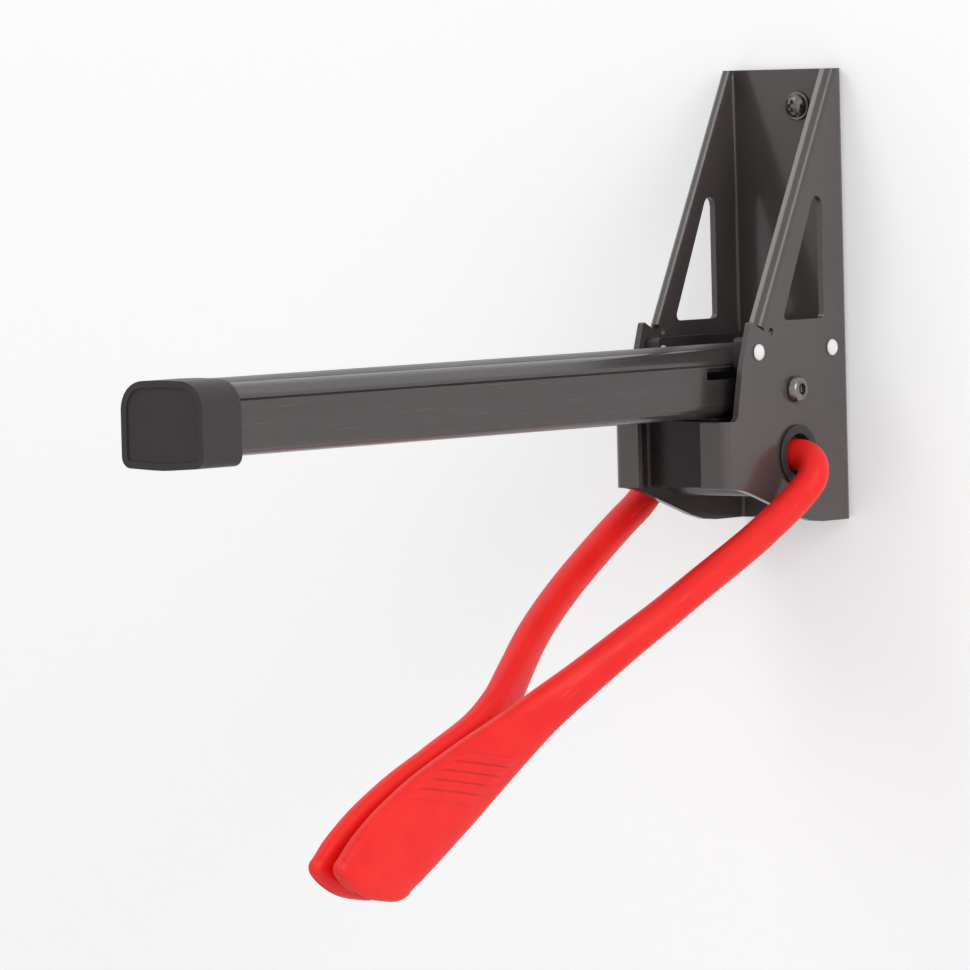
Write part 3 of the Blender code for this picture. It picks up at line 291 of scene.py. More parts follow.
# %% [markdown]
# ## Black rubber
#
# The strip on the bar is extruded rubber. It has a bloom, a faint grey haze that comes out of rubber with
# age, and soft lines along the extrusion. A little sheen gives the dusty glow that rubber shows at a low
# angle. The stop's pad is the same rubber.

# %% Black rubber
def dark_rubber():
    finish = Finish("extruded_rubber", "dark_rubber")
    lines = grain(finish, 0.8, 3.0, (1, 0.02, 1))
    bloom = grain(finish, 17.0, 4.0, (1, 0.4, 1), shift=6.0)
    dust = grain(finish, 0.6, 1.0, shift=1.0).between(0.68, 0.78)
    rub = edges(finish, 0.6) * 0.5
    colour = finish.mix(bloom.between(0.35, 0.75), (0.020, 0.018, 0.018), (0.034, 0.031, 0.031))
    colour = finish.mix(dust * 0.25 + rub * 0.2, colour, (0.12, 0.115, 0.11))
    height = lines * 0.006 + grain(finish, 0.25, 2.0) * 0.004
    rough = bloom * 0.16 + lines * 0.08 + 0.30
    return finish.shade(Base_Color=colour, Roughness=rough, Normal=relief(finish, height),
                        IOR=1.5, Sheen_Weight=0.06, Sheen_Roughness=0.4)


# %% [markdown]
# ## Red rubber
#
# The two arms are moulded in bright red rubber over a stiff core. Their skin is matt satin: it has a soft,
# wide highlight and no sharp one. Colour from a pigment is never quite even, so a slow cloud moves it
# between an orange red and a deeper one. A fine leather-like grain comes from the mould. The grip ribs get
# painted light: their crests a painted highlight in a lighter orange red, and the valleys between them a
# painted shade in a deep dark red, so that the grip lines show under the soft lamps. Pointiness tells the
# two apart, being above a half on crests and below it in creases. Some light enters rubber and comes out
# near by, which keeps the shaded side from going grey, so there is a small amount of subsurface scattering.

# %% Red rubber
def red_rubber():
    finish = Finish("moulded_red_rubber", "red_rubber")
    cloud = grain(finish, 26.0, 3.0)
    skin = grain(finish, 0.45, 2.5)
    pores = finish.node("ShaderNodeTexVoronoi", {"feature": "SMOOTH_F1"}, finish.place,
                        Scale=1000.0 / 0.7, Smoothness=0.5, out="Distance").between(0.0, 0.6)
    scuff = grain(finish, 2.2, 5.0, (1, 0.5, 0.5), shift=8.0).between(0.62, 0.76)
    pointed = finish.node("ShaderNodeNewGeometry", out="Pointiness")
    # masks for painted light on the grip ribs: a painted highlight on the crests, a painted shade in the
    # creases
    painted_crest_highlight = pointed.between(0.505, 0.545)
    painted_crease_shade = 1 - pointed.between(0.462, 0.497)
    colour = finish.mix(cloud.between(0.3, 0.7), (0.88, 0.013, 0.013), (0.94, 0.020, 0.015))
    colour = finish.mix(skin.between(0.35, 0.7) * 0.16, colour, (0.74, 0.009, 0.010))
    # painted highlight on the rib crests, mixed with real scuffs
    colour = finish.mix(painted_crest_highlight * 0.16 + scuff * 0.06, colour, (0.94, 0.13, 0.10))
    # painted shade in the valleys between the ribs
    colour = finish.mix(painted_crease_shade * 0.6, colour, (0.36, 0.006, 0.008))
    rough = skin * 0.10 + cloud * 0.06 + 0.36 + scuff * 0.08
    height = skin * 0.010 + pores * 0.006
    return finish.shade(Base_Color=colour, Roughness=rough, Normal=relief(finish, height), IOR=1.36,
                        Subsurface_Weight=0.06, Subsurface_Radius=(0.004, 0.0008, 0.0005),
                        Subsurface_Scale=0.5)


# %% [markdown]
# ## Turned and plated steel
#
# Screws, the pivot bolt and the rods are steel. A lathe tool leaves rings round a turned piece, which catch
# the light as fine circles. The rings here are the distance from the piece's own axis, run through a sine.
# Each piece turns about its own axis, so the function takes the axis and a point on it. Plating adds a
# blotchy variation, and handling leaves faint smudges that are rougher.

# %% Steels
def turned_steel(name, slot, dark, light, rough_low, axis, point, pitch_mm=0.35):
    """Steel with tool rings about an axis, given by its letter and a point on it."""
    finish = Finish(name, slot)
    apart = tuple(0.0 if letter == axis else 1.0 for letter in "XYZ")
    centre = tuple(-coordinate for coordinate in point)
    local = finish.node("ShaderNodeVectorMath", {"operation": "ADD"}, finish.place, centre)
    flat = finish.node("ShaderNodeVectorMath", {"operation": "MULTIPLY"}, local, apart)
    radius = finish.node("ShaderNodeVectorMath", {"operation": "LENGTH"}, flat, out="Value")
    wobble = grain(finish, 1.5, 2.0) * 0.00012
    rings = ((radius + wobble) * (2000 * math.pi / pitch_mm)).sine() * 0.5 + 0.5
    plating = grain(finish, 4.0, 4.0, shift=2.0)
    smudge = grain(finish, 7.0, 3.0, shift=11.0).between(0.5, 0.7)
    bright = edges(finish, 0.5)
    colour = finish.mix(plating.between(0.3, 0.7), dark, light)
    colour = finish.mix(bright * 0.5, colour, tuple(min(0.9, 1.6 * part) for part in light))
    rough = rings * 0.06 + smudge * 0.12 + rough_low
    return finish.shade(Base_Color=colour, Roughness=rough, Metallic=1.0,
                        Normal=relief(finish, rings * 0.002 + plating * 0.003))


# %% [markdown]
# ## Rounded edges on the measured solids
#
# No real edge is perfectly sharp, and the thin bright line on a rounded edge is what makes a render look
# like an object. The solids come as triangles with sharp corners. A Bevel modifier needs clean faces, so
# each copy is first welded, and its flat triangles are dissolved into whole faces. The bevel then rounds
# every corner above an angle. Weighted normals keep the flat faces looking flat beside the round ones.

# %% Rounded copies
WELD = 0.000002                         # points of the solid this close are one point
FLAT_WITHIN = math.radians(0.4)         # neighbours this level are one flat face


def shaped(name, shape, body, material):
    """Turns a bmesh into a piece that rides on a body and wears a finish."""
    mesh = bpy.data.meshes.new(name)
    shape.to_mesh(mesh)
    shape.free()
    mesh.shade_smooth()
    mesh.materials.append(material)
    piece = bpy.data.objects.new(name, mesh)
    bpy.context.scene.collection.objects.link(piece)
    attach(piece, body)
    return piece


def rounded_copy(node, body, material, edge_mm, angle=32.0, segments=3):
    """A copy of a solid with rounded edges, which stands for it."""
    shape = bmesh.new()
    shape.from_mesh(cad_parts[node].data)
    bmesh.ops.remove_doubles(shape, verts=shape.verts, dist=WELD)
    bmesh.ops.dissolve_limit(shape, angle_limit=FLAT_WITHIN, verts=shape.verts, edges=shape.edges)
    piece = shaped(node + "_rounded", shape, body, material)
    piece.data.set_sharp_from_angle(angle=math.radians(angle))
    bevel = piece.modifiers.new("Rounded edges", "BEVEL")
    bevel.width = edge_mm / 1000
    bevel.segments = segments
    bevel.limit_method = "ANGLE"
    bevel.angle_limit = math.radians(angle)
    bevel.harden_normals = True
    weighted = piece.modifiers.new("Flat faces stay flat", "WEIGHTED_NORMAL")
    weighted.keep_sharp = True
    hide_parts(node)
    print(piece.name, len(piece.data.polygons), "faces before the bevel")


# %% [markdown]
# ## The bracket and what is fixed in it
#
# The bracket is one sheet, cut and folded, so a rounded copy of the solid is the natural choice: every cut
# edge of 3 mm steel gets the small radius that tumbling and powder give it. The stop block, the side
# guides, the nut and the screws are done the same way, each with the radius of its kind of making.

# %% Dress the fixed pieces
PAINT = bracket_paint()
BLOCK = block_plastic()
BLACK = dark_plastic()
RUBBER = dark_rubber()
PIVOT = (0.0, -0.0440, 0.0)
BLACKENED = ((0.17, 0.160, 0.155), (0.28, 0.268, 0.260))
DARK_ZINC = ((0.10, 0.095, 0.09), (0.19, 0.18, 0.17))

rounded_copy("wall_bracket", "bracket", PAINT, 0.35)
rounded_copy("stop_block", "bracket", BLOCK, 0.40)
rounded_copy("stop_pad", "bracket", RUBBER, 0.18, segments=2)
for side in ("right", "left"):
    rounded_copy("side_guide_" + side, "bracket", BLACK, 0.30)

pivot_steel = turned_steel("pivot_steel", "dark_steel", *BLACKENED, 0.20, "X", PIVOT)
for node, edge in (("pivot_bolt", 0.22), ("pivot_nut", 0.25), ("pivot_washer", 0.12)):
    rounded_copy(node, "bracket", pivot_steel, edge)

# %% [markdown]
# ## Wall screws
#
# Two pan-head screws hold the back plate, each on a washer. Their heads face the room, so the tool rings
# run about Y. Each screw has its own centre, and therefore its own finish.

# %% Dress the wall screws
for name in ("upper", "lower"):
    low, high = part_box("wall_screw_" + name)
    middle = (low + high) / 2
    steel = turned_steel("screw_steel_" + name, "dark_steel", *DARK_ZINC, 0.22, "Y", tuple(middle))
    for node, edge in (("wall_screw_" + name, 0.16), ("wall_washer_" + name, 0.12)):
        rounded_copy(node, "bracket", steel, edge, segments=2)

# %% [markdown]
# ## Turned pieces: rivets and grommets
#
# A rivet's head is a smooth dome and a grommet is a ring with soft lips. Both are shapes of revolution. A
# Screw modifier would do, but a plain loop is just as short: it places the profile at each step round the
# axis and joins neighbours with four-sided faces. The corners of a profile are rounded first by `softened`,
# which replaces each corner by a small arc.

# %% Profiles and turning
def softened(corners, radius, steps=4):
    """Rounds the corners of a closed outline, each by at most a third of its shorter side."""
    points = [Vector(corner) for corner in corners]
    found = []
    for index, here in enumerate(points):
        back = points[index - 1] - here
        ahead = points[(index + 1) % len(points)] - here
        reach = min(radius, back.length / 3, ahead.length / 3)
        start = here + back.normalized() * reach
        end = here + ahead.normalized() * reach
        for step in range(steps + 1):
            t = step / steps
            found.append(start * (1 - t) ** 2 + here * (2 * t * (1 - t)) + end * t ** 2)
    return found


def turned(name, profile, centre, steps, body, material, closed=False):
    """Turns a profile of (radius, x) about the X axis through centre, a depth and a height."""
    shape = bmesh.new()
    rows = []
    for radius, x in profile:
        if radius == 0:
            rows.append([shape.verts.new((x, centre[0], centre[1]))])
            continue
        angles = [2 * math.pi * step / steps for step in range(steps)]
        rows.append([shape.verts.new((x, centre[0] + radius * math.cos(angle),
                                      centre[1] + radius * math.sin(angle))) for angle in angles])
    pairs = list(zip(rows, rows[1:])) + ([(rows[-1], rows[0])] if closed else [])
    for first, second in pairs:
        for step in range(steps):
            after = (step + 1) % steps
            corners = [first[step % len(first)], first[after % len(first)],
                       second[after % len(second)], second[step % len(second)]]
            shape.faces.new(list(dict.fromkeys(corners)))
    bmesh.ops.recalc_face_normals(shape, faces=shape.faces)
    piece = shaped(name, shape, body, material)
    piece.data.set_sharp_from_angle(angle=math.radians(50))
    return piece


# %% [markdown]
# ## The white rivets
#
# Four rivets hold the guides. The head is a shallow dome with a crisp rim, bright white against the dark
# cheek. Behind it runs the shank and the flattened tail. The places come from the solids, so nothing drifts.

# %% Rivets
WHITE = white_plastic()
RIVETS = [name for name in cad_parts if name.startswith("guide_rivet")]
RISE = 0.0019                           # of the head above the cheek
RIM_SHARE = 0.12                        # how much of the rise is the straight rim
SHANK, TAIL, TAIL_THICK = 0.0020, 0.0031, 0.0012
FILLET = 0.0002                         # under the head
CHAMFER = 0.0001                        # on the head's lower edge, going in
CHAMFER_SHARE = 0.05                    # and up, as a share of the rise
DOME_STEPS, TURN_STEPS = 10, 40


def rivet(node, outward):
    """outward is 1 on the right and -1 on the left."""
    low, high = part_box(node)
    centre = ((low.y + high.y) / 2, (low.z + high.z) / 2)
    head = (high.y - low.y) / 2
    outer, inner = (high.x, low.x) if outward > 0 else (low.x, high.x)
    under = outer - outward * RISE
    dome = []
    for step in range(DOME_STEPS + 1):
        turn = math.pi / 2 * step / DOME_STEPS
        height = RISE * (RIM_SHARE + (1 - RIM_SHARE) * math.cos(turn))
        dome.append((head * math.sin(turn), under + outward * height))
    rim = [(head, under + outward * RISE * CHAMFER_SHARE), (head - CHAMFER, under)]
    tail = inner + outward * TAIL_THICK
    stem = [(SHANK + FILLET, under), (SHANK, under - outward * FILLET), (SHANK, tail), (TAIL, tail),
            (TAIL, inner), (0.0, inner)]
    piece = turned(node + "_domed", dome + rim + stem, centre, TURN_STEPS, "bracket", WHITE)
    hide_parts(node)


for node in RIVETS:
    rivet(node, 1 if "right" in node else -1)
print("rivets:", RIVETS)

# %% [markdown]
# ## The grommets
#
# A grommet lines each side hole, and the red arm comes out through its wide mouth. It is a closed ring
# profile. The sizes are those of the solid, and only the corners change.

# %% Grommets
BODY, MOUTH, BEARING = 0.01175, 0.0097, 0.0076      # radii
FLANGE_THICK, MOUTH_DEPTH = 0.0014, 0.0062
LIP_ROUND = 0.0006
RING_STEPS = 72


def grommet(node, outward):
    """outward is 1 on the right and -1 on the left."""
    low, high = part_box(node)
    centre = ((low.y + high.y) / 2, (low.z + high.z) / 2)
    flange = (high.y - low.y) / 2
    face, back = (high.x, low.x) if outward > 0 else (low.x, high.x)
    flange_back = face - outward * FLANGE_THICK
    step = face - outward * MOUTH_DEPTH
    corners = [(MOUTH, face), (flange, face), (flange, flange_back), (BODY, flange_back), (BODY, back),
               (BEARING, back), (BEARING, step), (MOUTH, step)]
    profile = softened(corners, LIP_ROUND)
    piece = turned(node + "_soft", profile, centre, RING_STEPS, "bracket", BLACK, closed=True)
    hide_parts(node)


grommet("grommet_right", 1)
grommet("grommet_left", -1)

# %% [markdown]
# ## The folding bar, its strip and its cap
#
# The bar is an extrusion, so its ends and slots are saw-cut and lightly deburred, and its long corners are
# smooth already. The strip is pushed into the slot on top. The cap closes the outer end: its face is dished
# inside a thin rim. All three keep the solids' shapes and get the edges of their making.

# %% Dress the arm
BAR = bar_paint()
rounded_copy("arm_beam", "arm", BAR, 0.22, angle=48.0)
rounded_copy("arm_pad", "arm", RUBBER, 0.25, angle=48.0)
rounded_copy("end_cap", "arm", BLACK, 0.35, angle=42.0)

# %% [markdown]
# ## The red arms
#
# Each arm starts as a round rod inside the bracket, leaves the grommet, turns down, sweeps forward and then
# flattens into a broad paddle. It could be drawn as a curve with a bevel, but a curve's section keeps its
# form along the way. Here the section changes, so the arm is a loft: a row of closed rings along a smooth
# line, each with its own width, thickness and squareness. The rings are placed here far closer together
# than in the solid, so that the sweep and the grip lines come out round.

# %% The line of an arm
AXLE = Vector((0.0, -0.0434, -0.0304))
ROD = 0.0145                            # thickness of the round rod
INNER_END, BEND_START = 0.0120, 0.0335  # x of the rod's ends
BEND_OUT = 0.0120                       # radius of the bend
BEND_SLOPE = math.radians(58.0)         # below level, where the bend ends
HEADING = Vector((0, math.cos(BEND_SLOPE), math.sin(BEND_SLOPE), 0, 0))
ROD_STEPS, BEND_STEPS, RUN_STEPS = 6, 22, 14
# x, distance forward of the axle, distance below it, width and thickness of the section
ALONG = (
    (0.0443, 0.0142, 0.0176, 0.0146, 0.0146), (0.0434, 0.0236, 0.0237, 0.0147, 0.0147),
    (0.0430, 0.0348, 0.0296, 0.0147, 0.0147), (0.0415, 0.0529, 0.0391, 0.0150, 0.0148),
    (0.0374, 0.0822, 0.0540, 0.0152, 0.0148), (0.0330, 0.1065, 0.0672, 0.0158, 0.0146),
    (0.0275, 0.1276, 0.0792, 0.0170, 0.0142), (0.0198, 0.1508, 0.0940, 0.0192, 0.0134),
    (0.0132, 0.1700, 0.1062, 0.0225, 0.0124), (0.0092, 0.1900, 0.1180, 0.0275, 0.0116),
    (0.0074, 0.2160, 0.1310, 0.0345, 0.0114), (0.0070, 0.2420, 0.1440, 0.0405, 0.0114),
    (0.0070, 0.2630, 0.1555, 0.0432, 0.0114), (0.0070, 0.2780, 0.1648, 0.0436, 0.0112),
    (0.0070, 0.2870, 0.1712, 0.0424, 0.0108),
)


def bend_line():
    """The straight rod out of the grommet and the quarter turn after it."""
    line = []
    for step in range(ROD_STEPS):
        line.append(Vector((INNER_END + (BEND_START - INNER_END) * step / ROD_STEPS, 0, 0, ROD, ROD)))
    for step in range(BEND_STEPS + 1):
        angle = math.pi / 2 * step / BEND_STEPS
        ahead = BEND_OUT * (1 - math.cos(angle))
        line.append(Vector((BEND_START + BEND_OUT * math.sin(angle), ahead * math.cos(BEND_SLOPE),
                            ahead * math.sin(BEND_SLOPE), ROD, ROD)))
    return line


def flowing(points, pieces):
    """A smooth line through the points that leaves the first one along the bend's heading."""
    lead = HEADING * 2 * (points[1] - points[0]).length
    ends = [points[1] - lead] + points + [points[-1] * 2 - points[-2]]
    found = []
    for before, start, end, after in zip(ends, ends[1:], ends[2:], ends[3:]):
        for step in range(pieces):
            t = step / pieces
            found.append(0.5 * (2 * start + (end - before) * t
                                + (2 * before - 5 * start + 4 * end - after) * t * t
                                + (3 * start - before - 3 * end + after) * t * t * t))
    return found + [points[-1].copy()]


# %% [markdown]
# ## Sections and grip lines
#
# A section is a superellipse: its exponent goes from 2, a circle, to nearly 3, a soft rectangle. Its points
# are spaced evenly round it, or the flat face would have too few. On the outer face five rounded ribs lie
# side by side, and the narrow valleys between them are the grip lines that one sees. They run almost level,
# so they cross the paddle at a slant and no single section follows one. Each point of the face is therefore
# raised by itself, by how far it lies from the nearest valley. The ribs fade out at the paddle's upper edge
# and again just past its middle.

# %% The sections of an arm
WIDTH_TILT = math.radians(31.0)         # the sections' width leans back by this
PADDLE_FROM, PADDLE_FULL = 0.1090, 0.2420   # distances forward where it starts to flatten and is done
PADDLE_SKEW = 0.62                      # the upper edge leads the lower one by this share of the width
PADDLE_BOW = 0.0035                     # the sections' middle leads their edges
PADDLE_SQUARE = 2.9                     # exponent of the flat section's outline
RING, FINE = 176, 720                   # points round a ring, and in the outline that they are taken from
GRIP_SLOPE = math.radians(26.6)         # of the paddle, below level
GRIP_SLANT = 1.39                       # how far a line goes along the paddle for each step across it
GRIP_FIRST, GRIP_PITCH, GRIP_COUNT = -0.0445, 0.0080, 5
GRIP_HEIGHT = 0.00095
GRIP_FROM, GRIP_TO = 0.186, 0.256       # distances forward between which the ribs lie
FADE_TOP, FADE_BOTTOM = 0.95, -0.62     # shares of the half width between which they show
TOP_OVER, BOTTOM_OVER = 0.22, 0.35      # and over which they fade out


def ease(value):
    value = min(1.0, max(0.0, value))
    return value * value * (3 - 2 * value)


def even_outline(square, half_width, half_thick):
    """RING points evenly spaced round a superellipse, from its upper edge over the outer face."""
    fine = []
    for number in range(FINE + 1):
        angle = 2 * math.pi * number / FINE
        across = math.copysign(abs(math.cos(angle)) ** (2 / square), math.cos(angle))
        through = math.copysign(abs(math.sin(angle)) ** (2 / square), math.sin(angle))
        fine.append(Vector((across * half_width, through * half_thick)))
    lengths = [(after - before).length for before, after in zip(fine, fine[1:])]
    spacing = sum(lengths) / RING
    points = []
    walked = 0.0
    for before, after, length in zip(fine, fine[1:], lengths):
        while len(points) < RING and spacing * len(points) < walked + length:
            points.append(before.lerp(after, (spacing * len(points) - walked) / length))
        walked += length
    return points


def ridge(forward, wide_by, across, lead):
    """The height of the grip ribs on the outer face: rounded, with narrow valleys between them."""
    along = (forward - PADDLE_FULL) / math.cos(GRIP_SLOPE) + lead - GRIP_SLANT * wide_by
    rib = (along - GRIP_FIRST) / GRIP_PITCH
    if not 0 < rib < GRIP_COUNT:
        return 0.0
    from_middle = 2 * (rib % 1) - 1
    fade = ease((FADE_TOP - across) / TOP_OVER) * ease((across - FADE_BOTTOM) / BOTTOM_OVER)
    return GRIP_HEIGHT * fade * (1 - from_middle * from_middle)


def section(station, tangent, share):
    """The ring of points at a station; share goes from 0 on the round run to 1 on the full paddle."""
    square = 2 + (PADDLE_SQUARE - 2) * share
    centre = AXLE + Vector((station[0], -station[1], -station[2]))
    tilt = Vector((0, -math.sin(WIDTH_TILT), math.cos(WIDTH_TILT)))
    flat = tilt.cross(tangent).normalized()
    wide = tangent.cross(flat).normalized()
    points = []
    for wide_by, through in even_outline(square, station[3] / 2, station[4] / 2):
        across = wide_by / (station[3] / 2)
        lead = PADDLE_SKEW * share * wide_by + PADDLE_BOW * share * (1 - across * across)
        if through > 0 and GRIP_FROM < station[1] < GRIP_TO:
            through += ridge(station[1], wide_by, across, lead)
        points.append(centre + wide * wide_by + flat * through + tangent * lead)
    return points


# %% [markdown]
# ## Lofting an arm
#
# The line is resampled closely in the sweep after the bend and at the grip lines, and less closely
# elsewhere. The paddle's end is rounded by rings that shrink as they go. The rod's inner end has a socket
# for the axle, so its last ring turns inwards and goes back along the axle. The left arm is the right one
# mirrored.

# %% Build the arms
SWEEP_TO = 0.024                        # distance forward up to which the arm turns after its bend
CLOSE, WIDE = 0.0006, 0.0020            # steps forward between stations
TIP_ROUND = 0.0085                      # length over which the paddle's end rounds off
TIP_TURNS = (8, 17, 27, 37, 47, 57, 66, 74, 81, 86)
TIP_THIN = 0.12                         # the last rings keep this share of the thickness
SOCKET_RADIUS, SOCKET_DEPTH = 0.0043, 0.0133


def arm_line():
    """Stations from the bracket to the paddle."""
    bend = bend_line()
    run = flowing([bend[-1]] + [Vector(station) for station in ALONG], RUN_STEPS)
    line = bend[:-1]
    at = 0
    forward = run[0][1]
    last = run[-1][1]
    while forward < last:
        while run[at + 1][1] < forward:
            at += 1
        share = (forward - run[at][1]) / (run[at + 1][1] - run[at][1])
        line.append(run[at].lerp(run[at + 1], share))
        forward += CLOSE if GRIP_FROM < forward < GRIP_TO or forward < SWEEP_TO else WIDE
    return line + [run[-1]]


def towards(step):
    """The direction of a step along the line, in the frame's own axes."""
    return Vector((step[0], -step[1], -step[2])).normalized()


def arm_rings():
    """The rings of the right arm, from the rod to the tip."""
    line = arm_line()
    rings = []
    for index, station in enumerate(line):
        step = line[min(len(line) - 1, index + 1)] - line[max(0, index - 1)]
        share = ease((station[1] - PADDLE_FROM) / (PADDLE_FULL - PADDLE_FROM))
        rings.append(section(station, towards(step), share))
    last = line[-1]
    tangent = towards(last - line[-2])
    for degrees in TIP_TURNS:
        turn = math.radians(degrees)
        ahead = tangent * TIP_ROUND * math.sin(turn)
        station = last.copy()
        station[0], station[1], station[2] = last[0] + ahead.x, last[1] - ahead.y, last[2] - ahead.z
        station[3] = last[3] - 2 * TIP_ROUND * (1 - math.cos(turn))
        station[4] = last[4] * max(TIP_THIN, math.cos(turn))
        rings.append(section(station, tangent, 1.0))
    return rings


def socket_rings(first):
    """Rings that turn the rod's inner end into a socket."""
    middle = sum(first, Vector()) / len(first)
    narrow = [middle + (point - middle) * (SOCKET_RADIUS / (point - middle).length) for point in first]
    return [[point + Vector((SOCKET_DEPTH, 0, 0)) for point in narrow], narrow]


def red_arm(name, rings, side, material):
    """Joins the rings to a closed skin. side is 1 on the right and -1 on the left."""
    shape = bmesh.new()
    rows = [[shape.verts.new((side * point.x, point.y, point.z)) for point in ring] for ring in rings]
    for first, second in zip(rows, rows[1:]):
        for number in range(RING):
            after = (number + 1) % RING
            shape.faces.new((first[number], first[after], second[after], second[number]))
    shape.faces.new(rows[0])
    shape.faces.new(rows[-1])
    bmesh.ops.recalc_face_normals(shape, faces=shape.faces)
    piece = shaped(name + "_moulded", shape, "steady_arms", material)
    piece.data.set_sharp_from_angle(angle=math.radians(55))
    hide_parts(name)
    print(piece.name, len(piece.data.polygons), "faces")


RED = red_rubber()
rings = arm_rings()
rings = socket_rings(rings[0]) + rings
red_arm("steady_arm_right", rings, 1, RED)
red_arm("steady_arm_left", rings, -1, RED)

# %% [markdown]
# ## Pieces that keep their solids
#
# The sleeve, the bushes, the axle, its spacer and the root plug sit inside the bracket and the bar. Their
# plain turned shapes are right as they are, so they stay and only get their finishes, through the slots
# of their own meshes.

# %% Finish the inner pieces
BRIGHT = ((0.50, 0.50, 0.50), (0.64, 0.64, 0.63))
SLEEVE = turned_steel("sleeve_steel", "bright_steel", *BRIGHT, 0.18, "X", PIVOT)
AXLE_STEEL = turned_steel("axle_steel", "bright_steel", *BRIGHT, 0.18, "X", tuple(AXLE))
BUSH = pale_bush()


def wears(node, material):
    """Puts the finish in the slots of a solid that stays."""
    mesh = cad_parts[node].data
    for index in range(len(mesh.materials)):
        mesh.materials[index] = material
    print(node, "wears", material.name)


wears("pivot_sleeve", SLEEVE)
wears("steady_axle", AXLE_STEEL)
wears("pivot_bush_right", BUSH)
wears("pivot_bush_left", BUSH)
wears("root_plug", BLACK)
wears("axle_spacer", BLACK)

# %% [markdown]
# ## Wall, floor and light
#
# The holder hangs on a white wall over a pale floor. The wall only needs to be seen and to catch the
# holder's soft shadow, so it neither blocks nor bounces light, and from behind it is see-through: then the
# back of the bracket can be looked at too. Wall and floor add a little glow of their own, for the camera and
# in reflections, so that they look white and not grey.

# %% Stage
def shown(finish):
    """1 for what the camera sees, straight or in a reflection or through glass."""
    seen, mirrored, through = (finish.node("ShaderNodeLightPath", out=f"Is {kind} Ray")
                               for kind in ("Camera", "Glossy", "Transmission"))
    return seen.either(mirrored).either(through)


def backdrop(name, corners, colour, glow, see_through=False):
    """A flat sheet behind or below the holder, which glows a little to the eye."""
    shape = bmesh.new()
    shape.faces.new([shape.verts.new(corner) for corner in corners])
    mesh = bpy.data.meshes.new(name)
    shape.to_mesh(mesh)
    shape.free()
    finish = Finish(name)
    cloud = grain(finish, 400.0, 2.0)
    tone = finish.mix(cloud, colour, tuple(0.985 * part for part in colour))
    plain = finish.node("ShaderNodeBsdfDiffuse", None, tone)
    glowing = finish.node("ShaderNodeEmission", None, (1.0, 1.0, 1.0), shown(finish) * glow)
    surface = finish.node("ShaderNodeAddShader", None, plain, glowing)
    if see_through:
        behind = finish.node("ShaderNodeNewGeometry", out="Backfacing")
        clear = finish.node("ShaderNodeBsdfTransparent")
        surface = finish.node("ShaderNodeMixShader", None, behind, surface, clear)
    finish.node("ShaderNodeOutputMaterial", None, surface)
    mesh.materials.append(finish.made)
    sheet = bpy.data.objects.new(name, mesh)
    bpy.context.scene.collection.objects.link(sheet)
    sheet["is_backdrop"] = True
    return sheet


WALL_Y, FLOOR_Z, SPREAD = 0.0006, -0.62, 4.0
WALL_CORNERS = ((-SPREAD, WALL_Y, FLOOR_Z), (SPREAD, WALL_Y, FLOOR_Z),
                (SPREAD, WALL_Y, SPREAD), (-SPREAD, WALL_Y, SPREAD))
FLOOR_CORNERS = ((-SPREAD, -SPREAD, FLOOR_Z), (SPREAD, -SPREAD, FLOOR_Z),
                 (SPREAD, SPREAD, FLOOR_Z), (-SPREAD, SPREAD, FLOOR_Z))
wall = backdrop("wall", WALL_CORNERS, (0.86, 0.86, 0.865), 0.24, see_through=True)
wall.visible_diffuse = False
wall.visible_shadow = False
backdrop("floor", FLOOR_CORNERS, (0.84, 0.835, 0.83), 0.12)
print("wall just behind the plate, floor at", FLOOR_Z)

# %% [markdown]
# ## Light
#
# The world gives an even white light, like a tent. To the eye and in reflections it is plain white, and as a
# light it is weaker, so that the lamps can model the forms. A large soft lamp stands on the right and lights
# the near cheek and the bar's side, which are the lightest dark faces in the photograph. A smaller one on
# the upper left opens the far side and the tops.

# %% World and lamps
def world_light(strength):
    """White to the eye and in reflections, softer as a light."""
    tent = Finish("studio", kind=bpy.data.worlds)
    lit = tent.node("ShaderNodeBackground", None, (0.97, 0.985, 1.0), strength)
    white = tent.node("ShaderNodeBackground", None, (1.0, 1.0, 1.0), 1.0)
    surface = tent.node("ShaderNodeMixShader", None, shown(tent), lit, white)
    tent.node("ShaderNodeOutputWorld", None, surface)
    bpy.context.scene.world = tent.made


def soft_lamp(name, place, size, watts, colour):
    """A rectangle of light that faces the holder's middle."""
    data = bpy.data.lights.new(name, "AREA")
    data.shape = "RECTANGLE"
    data.size, data.size_y = size
    data.energy = watts
    data.color = colour
    lamp = bpy.data.objects.new(name, data)
    lamp.location = place
    lamp.rotation_mode = "QUATERNION"
    lamp.rotation_quaternion = (MIDDLE - Vector(place)).to_track_quat("-Z", "Y")
    bpy.context.scene.collection.objects.link(lamp)


MIDDLE = (CAD_LOW + CAD_HIGH) / 2
world_light(0.60)
soft_lamp("right", (2.6, -0.9, 0.9), (1.7, 1.7), 35.0, (1.0, 0.99, 0.98))
soft_lamp("upper left", (-1.0, -1.3, 1.9), (1.2, 1.0), 14.0, (1.0, 0.985, 0.965))

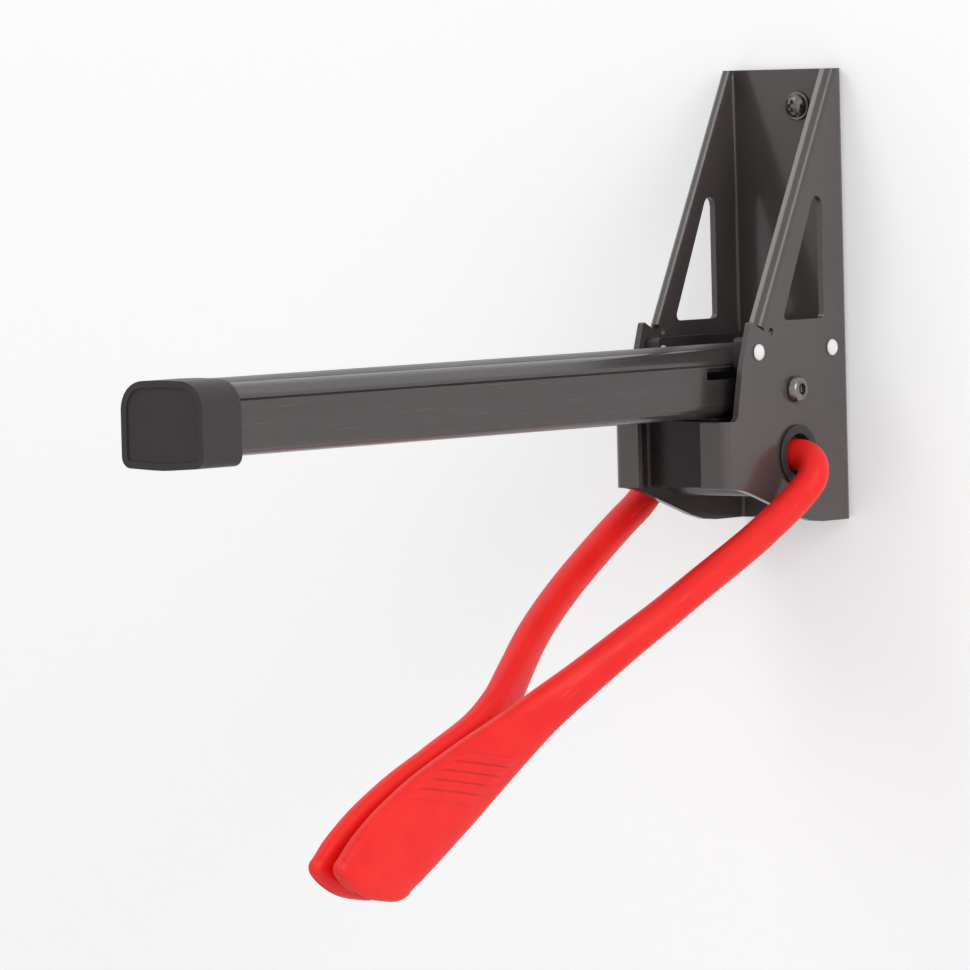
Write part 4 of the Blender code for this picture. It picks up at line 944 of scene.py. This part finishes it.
# %% [markdown]
# ## The camera
#
# The photograph was taken from about four metres away, to the right of the holder and a little above it.
# The render keeps that standpoint, because the standpoint alone decides the perspective. The holder fills
# only a small part of the photograph, so the lens here is longer and points at the holder's middle. The
# slight roll of the photograph is kept.

# %% Camera
STANDPOINT = Vector((2.232, -3.052, 0.147))
ROLL = math.radians(1.4)
FILL = 0.86                             # how much of the picture the holder fills
SENSOR = 36.0                           # millimetres


def aimed(direction):
    """A camera's turn: along the direction, upright, then rolled as the photograph is."""
    return direction.to_track_quat("-Z", "Y") @ Matrix.Rotation(-ROLL, 3, "Z").to_quaternion()


def seen_spread(turn):
    """The spread of the holder in the picture, wall screws left out, as slopes to the right and up."""
    inverse = turn.inverted()
    corners = []
    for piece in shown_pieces():
        if piece.name in ("wall_screw_upper_rounded", "wall_screw_lower_rounded"):
            continue
        for corner in [piece.matrix_world @ vertex.co for vertex in piece.data.vertices]:
            local = inverse @ (corner - STANDPOINT)
            corners.append((local.x / -local.z, local.y / -local.z))
    across, up = zip(*corners)
    return min(across), max(across), min(up), max(up)


def place_camera():
    """Points the camera at the middle of what it sees and fills the picture."""
    data = bpy.data.cameras.new("camera")
    camera = bpy.data.objects.new("camera", data)
    bpy.context.scene.collection.objects.link(camera)
    bpy.context.scene.camera = camera
    direction = MIDDLE - STANDPOINT
    for _ in range(3):
        turn = aimed(direction)
        left, right, low, high = seen_spread(turn)
        direction = turn @ Vector(((left + right) / 2, (low + high) / 2, -1))
    spread = max(right - left, high - low)
    camera.location = STANDPOINT
    camera.rotation_mode = "QUATERNION"
    camera.rotation_quaternion = aimed(direction)
    data.sensor_width = SENSOR
    data.lens = SENSOR * FILL / spread
    data.clip_start, data.clip_end = 0.05, 50.0
    print("lens", round(data.lens), "mm, distance", round(direction.length, 2))


place_camera()
bpy.context.scene.view_settings.view_transform = "Standard"

# %% [markdown]
# ## Sizes
#
# The box of the dressed holder is printed beside the box of the measured solids.

# %% Sizes
low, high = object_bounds()
print("box of the solids", [round(1000 * side, 2) for side in CAD_HIGH - CAD_LOW], "mm")
print("box of the pieces", [round(1000 * side, 2) for side in high - low], "mm")
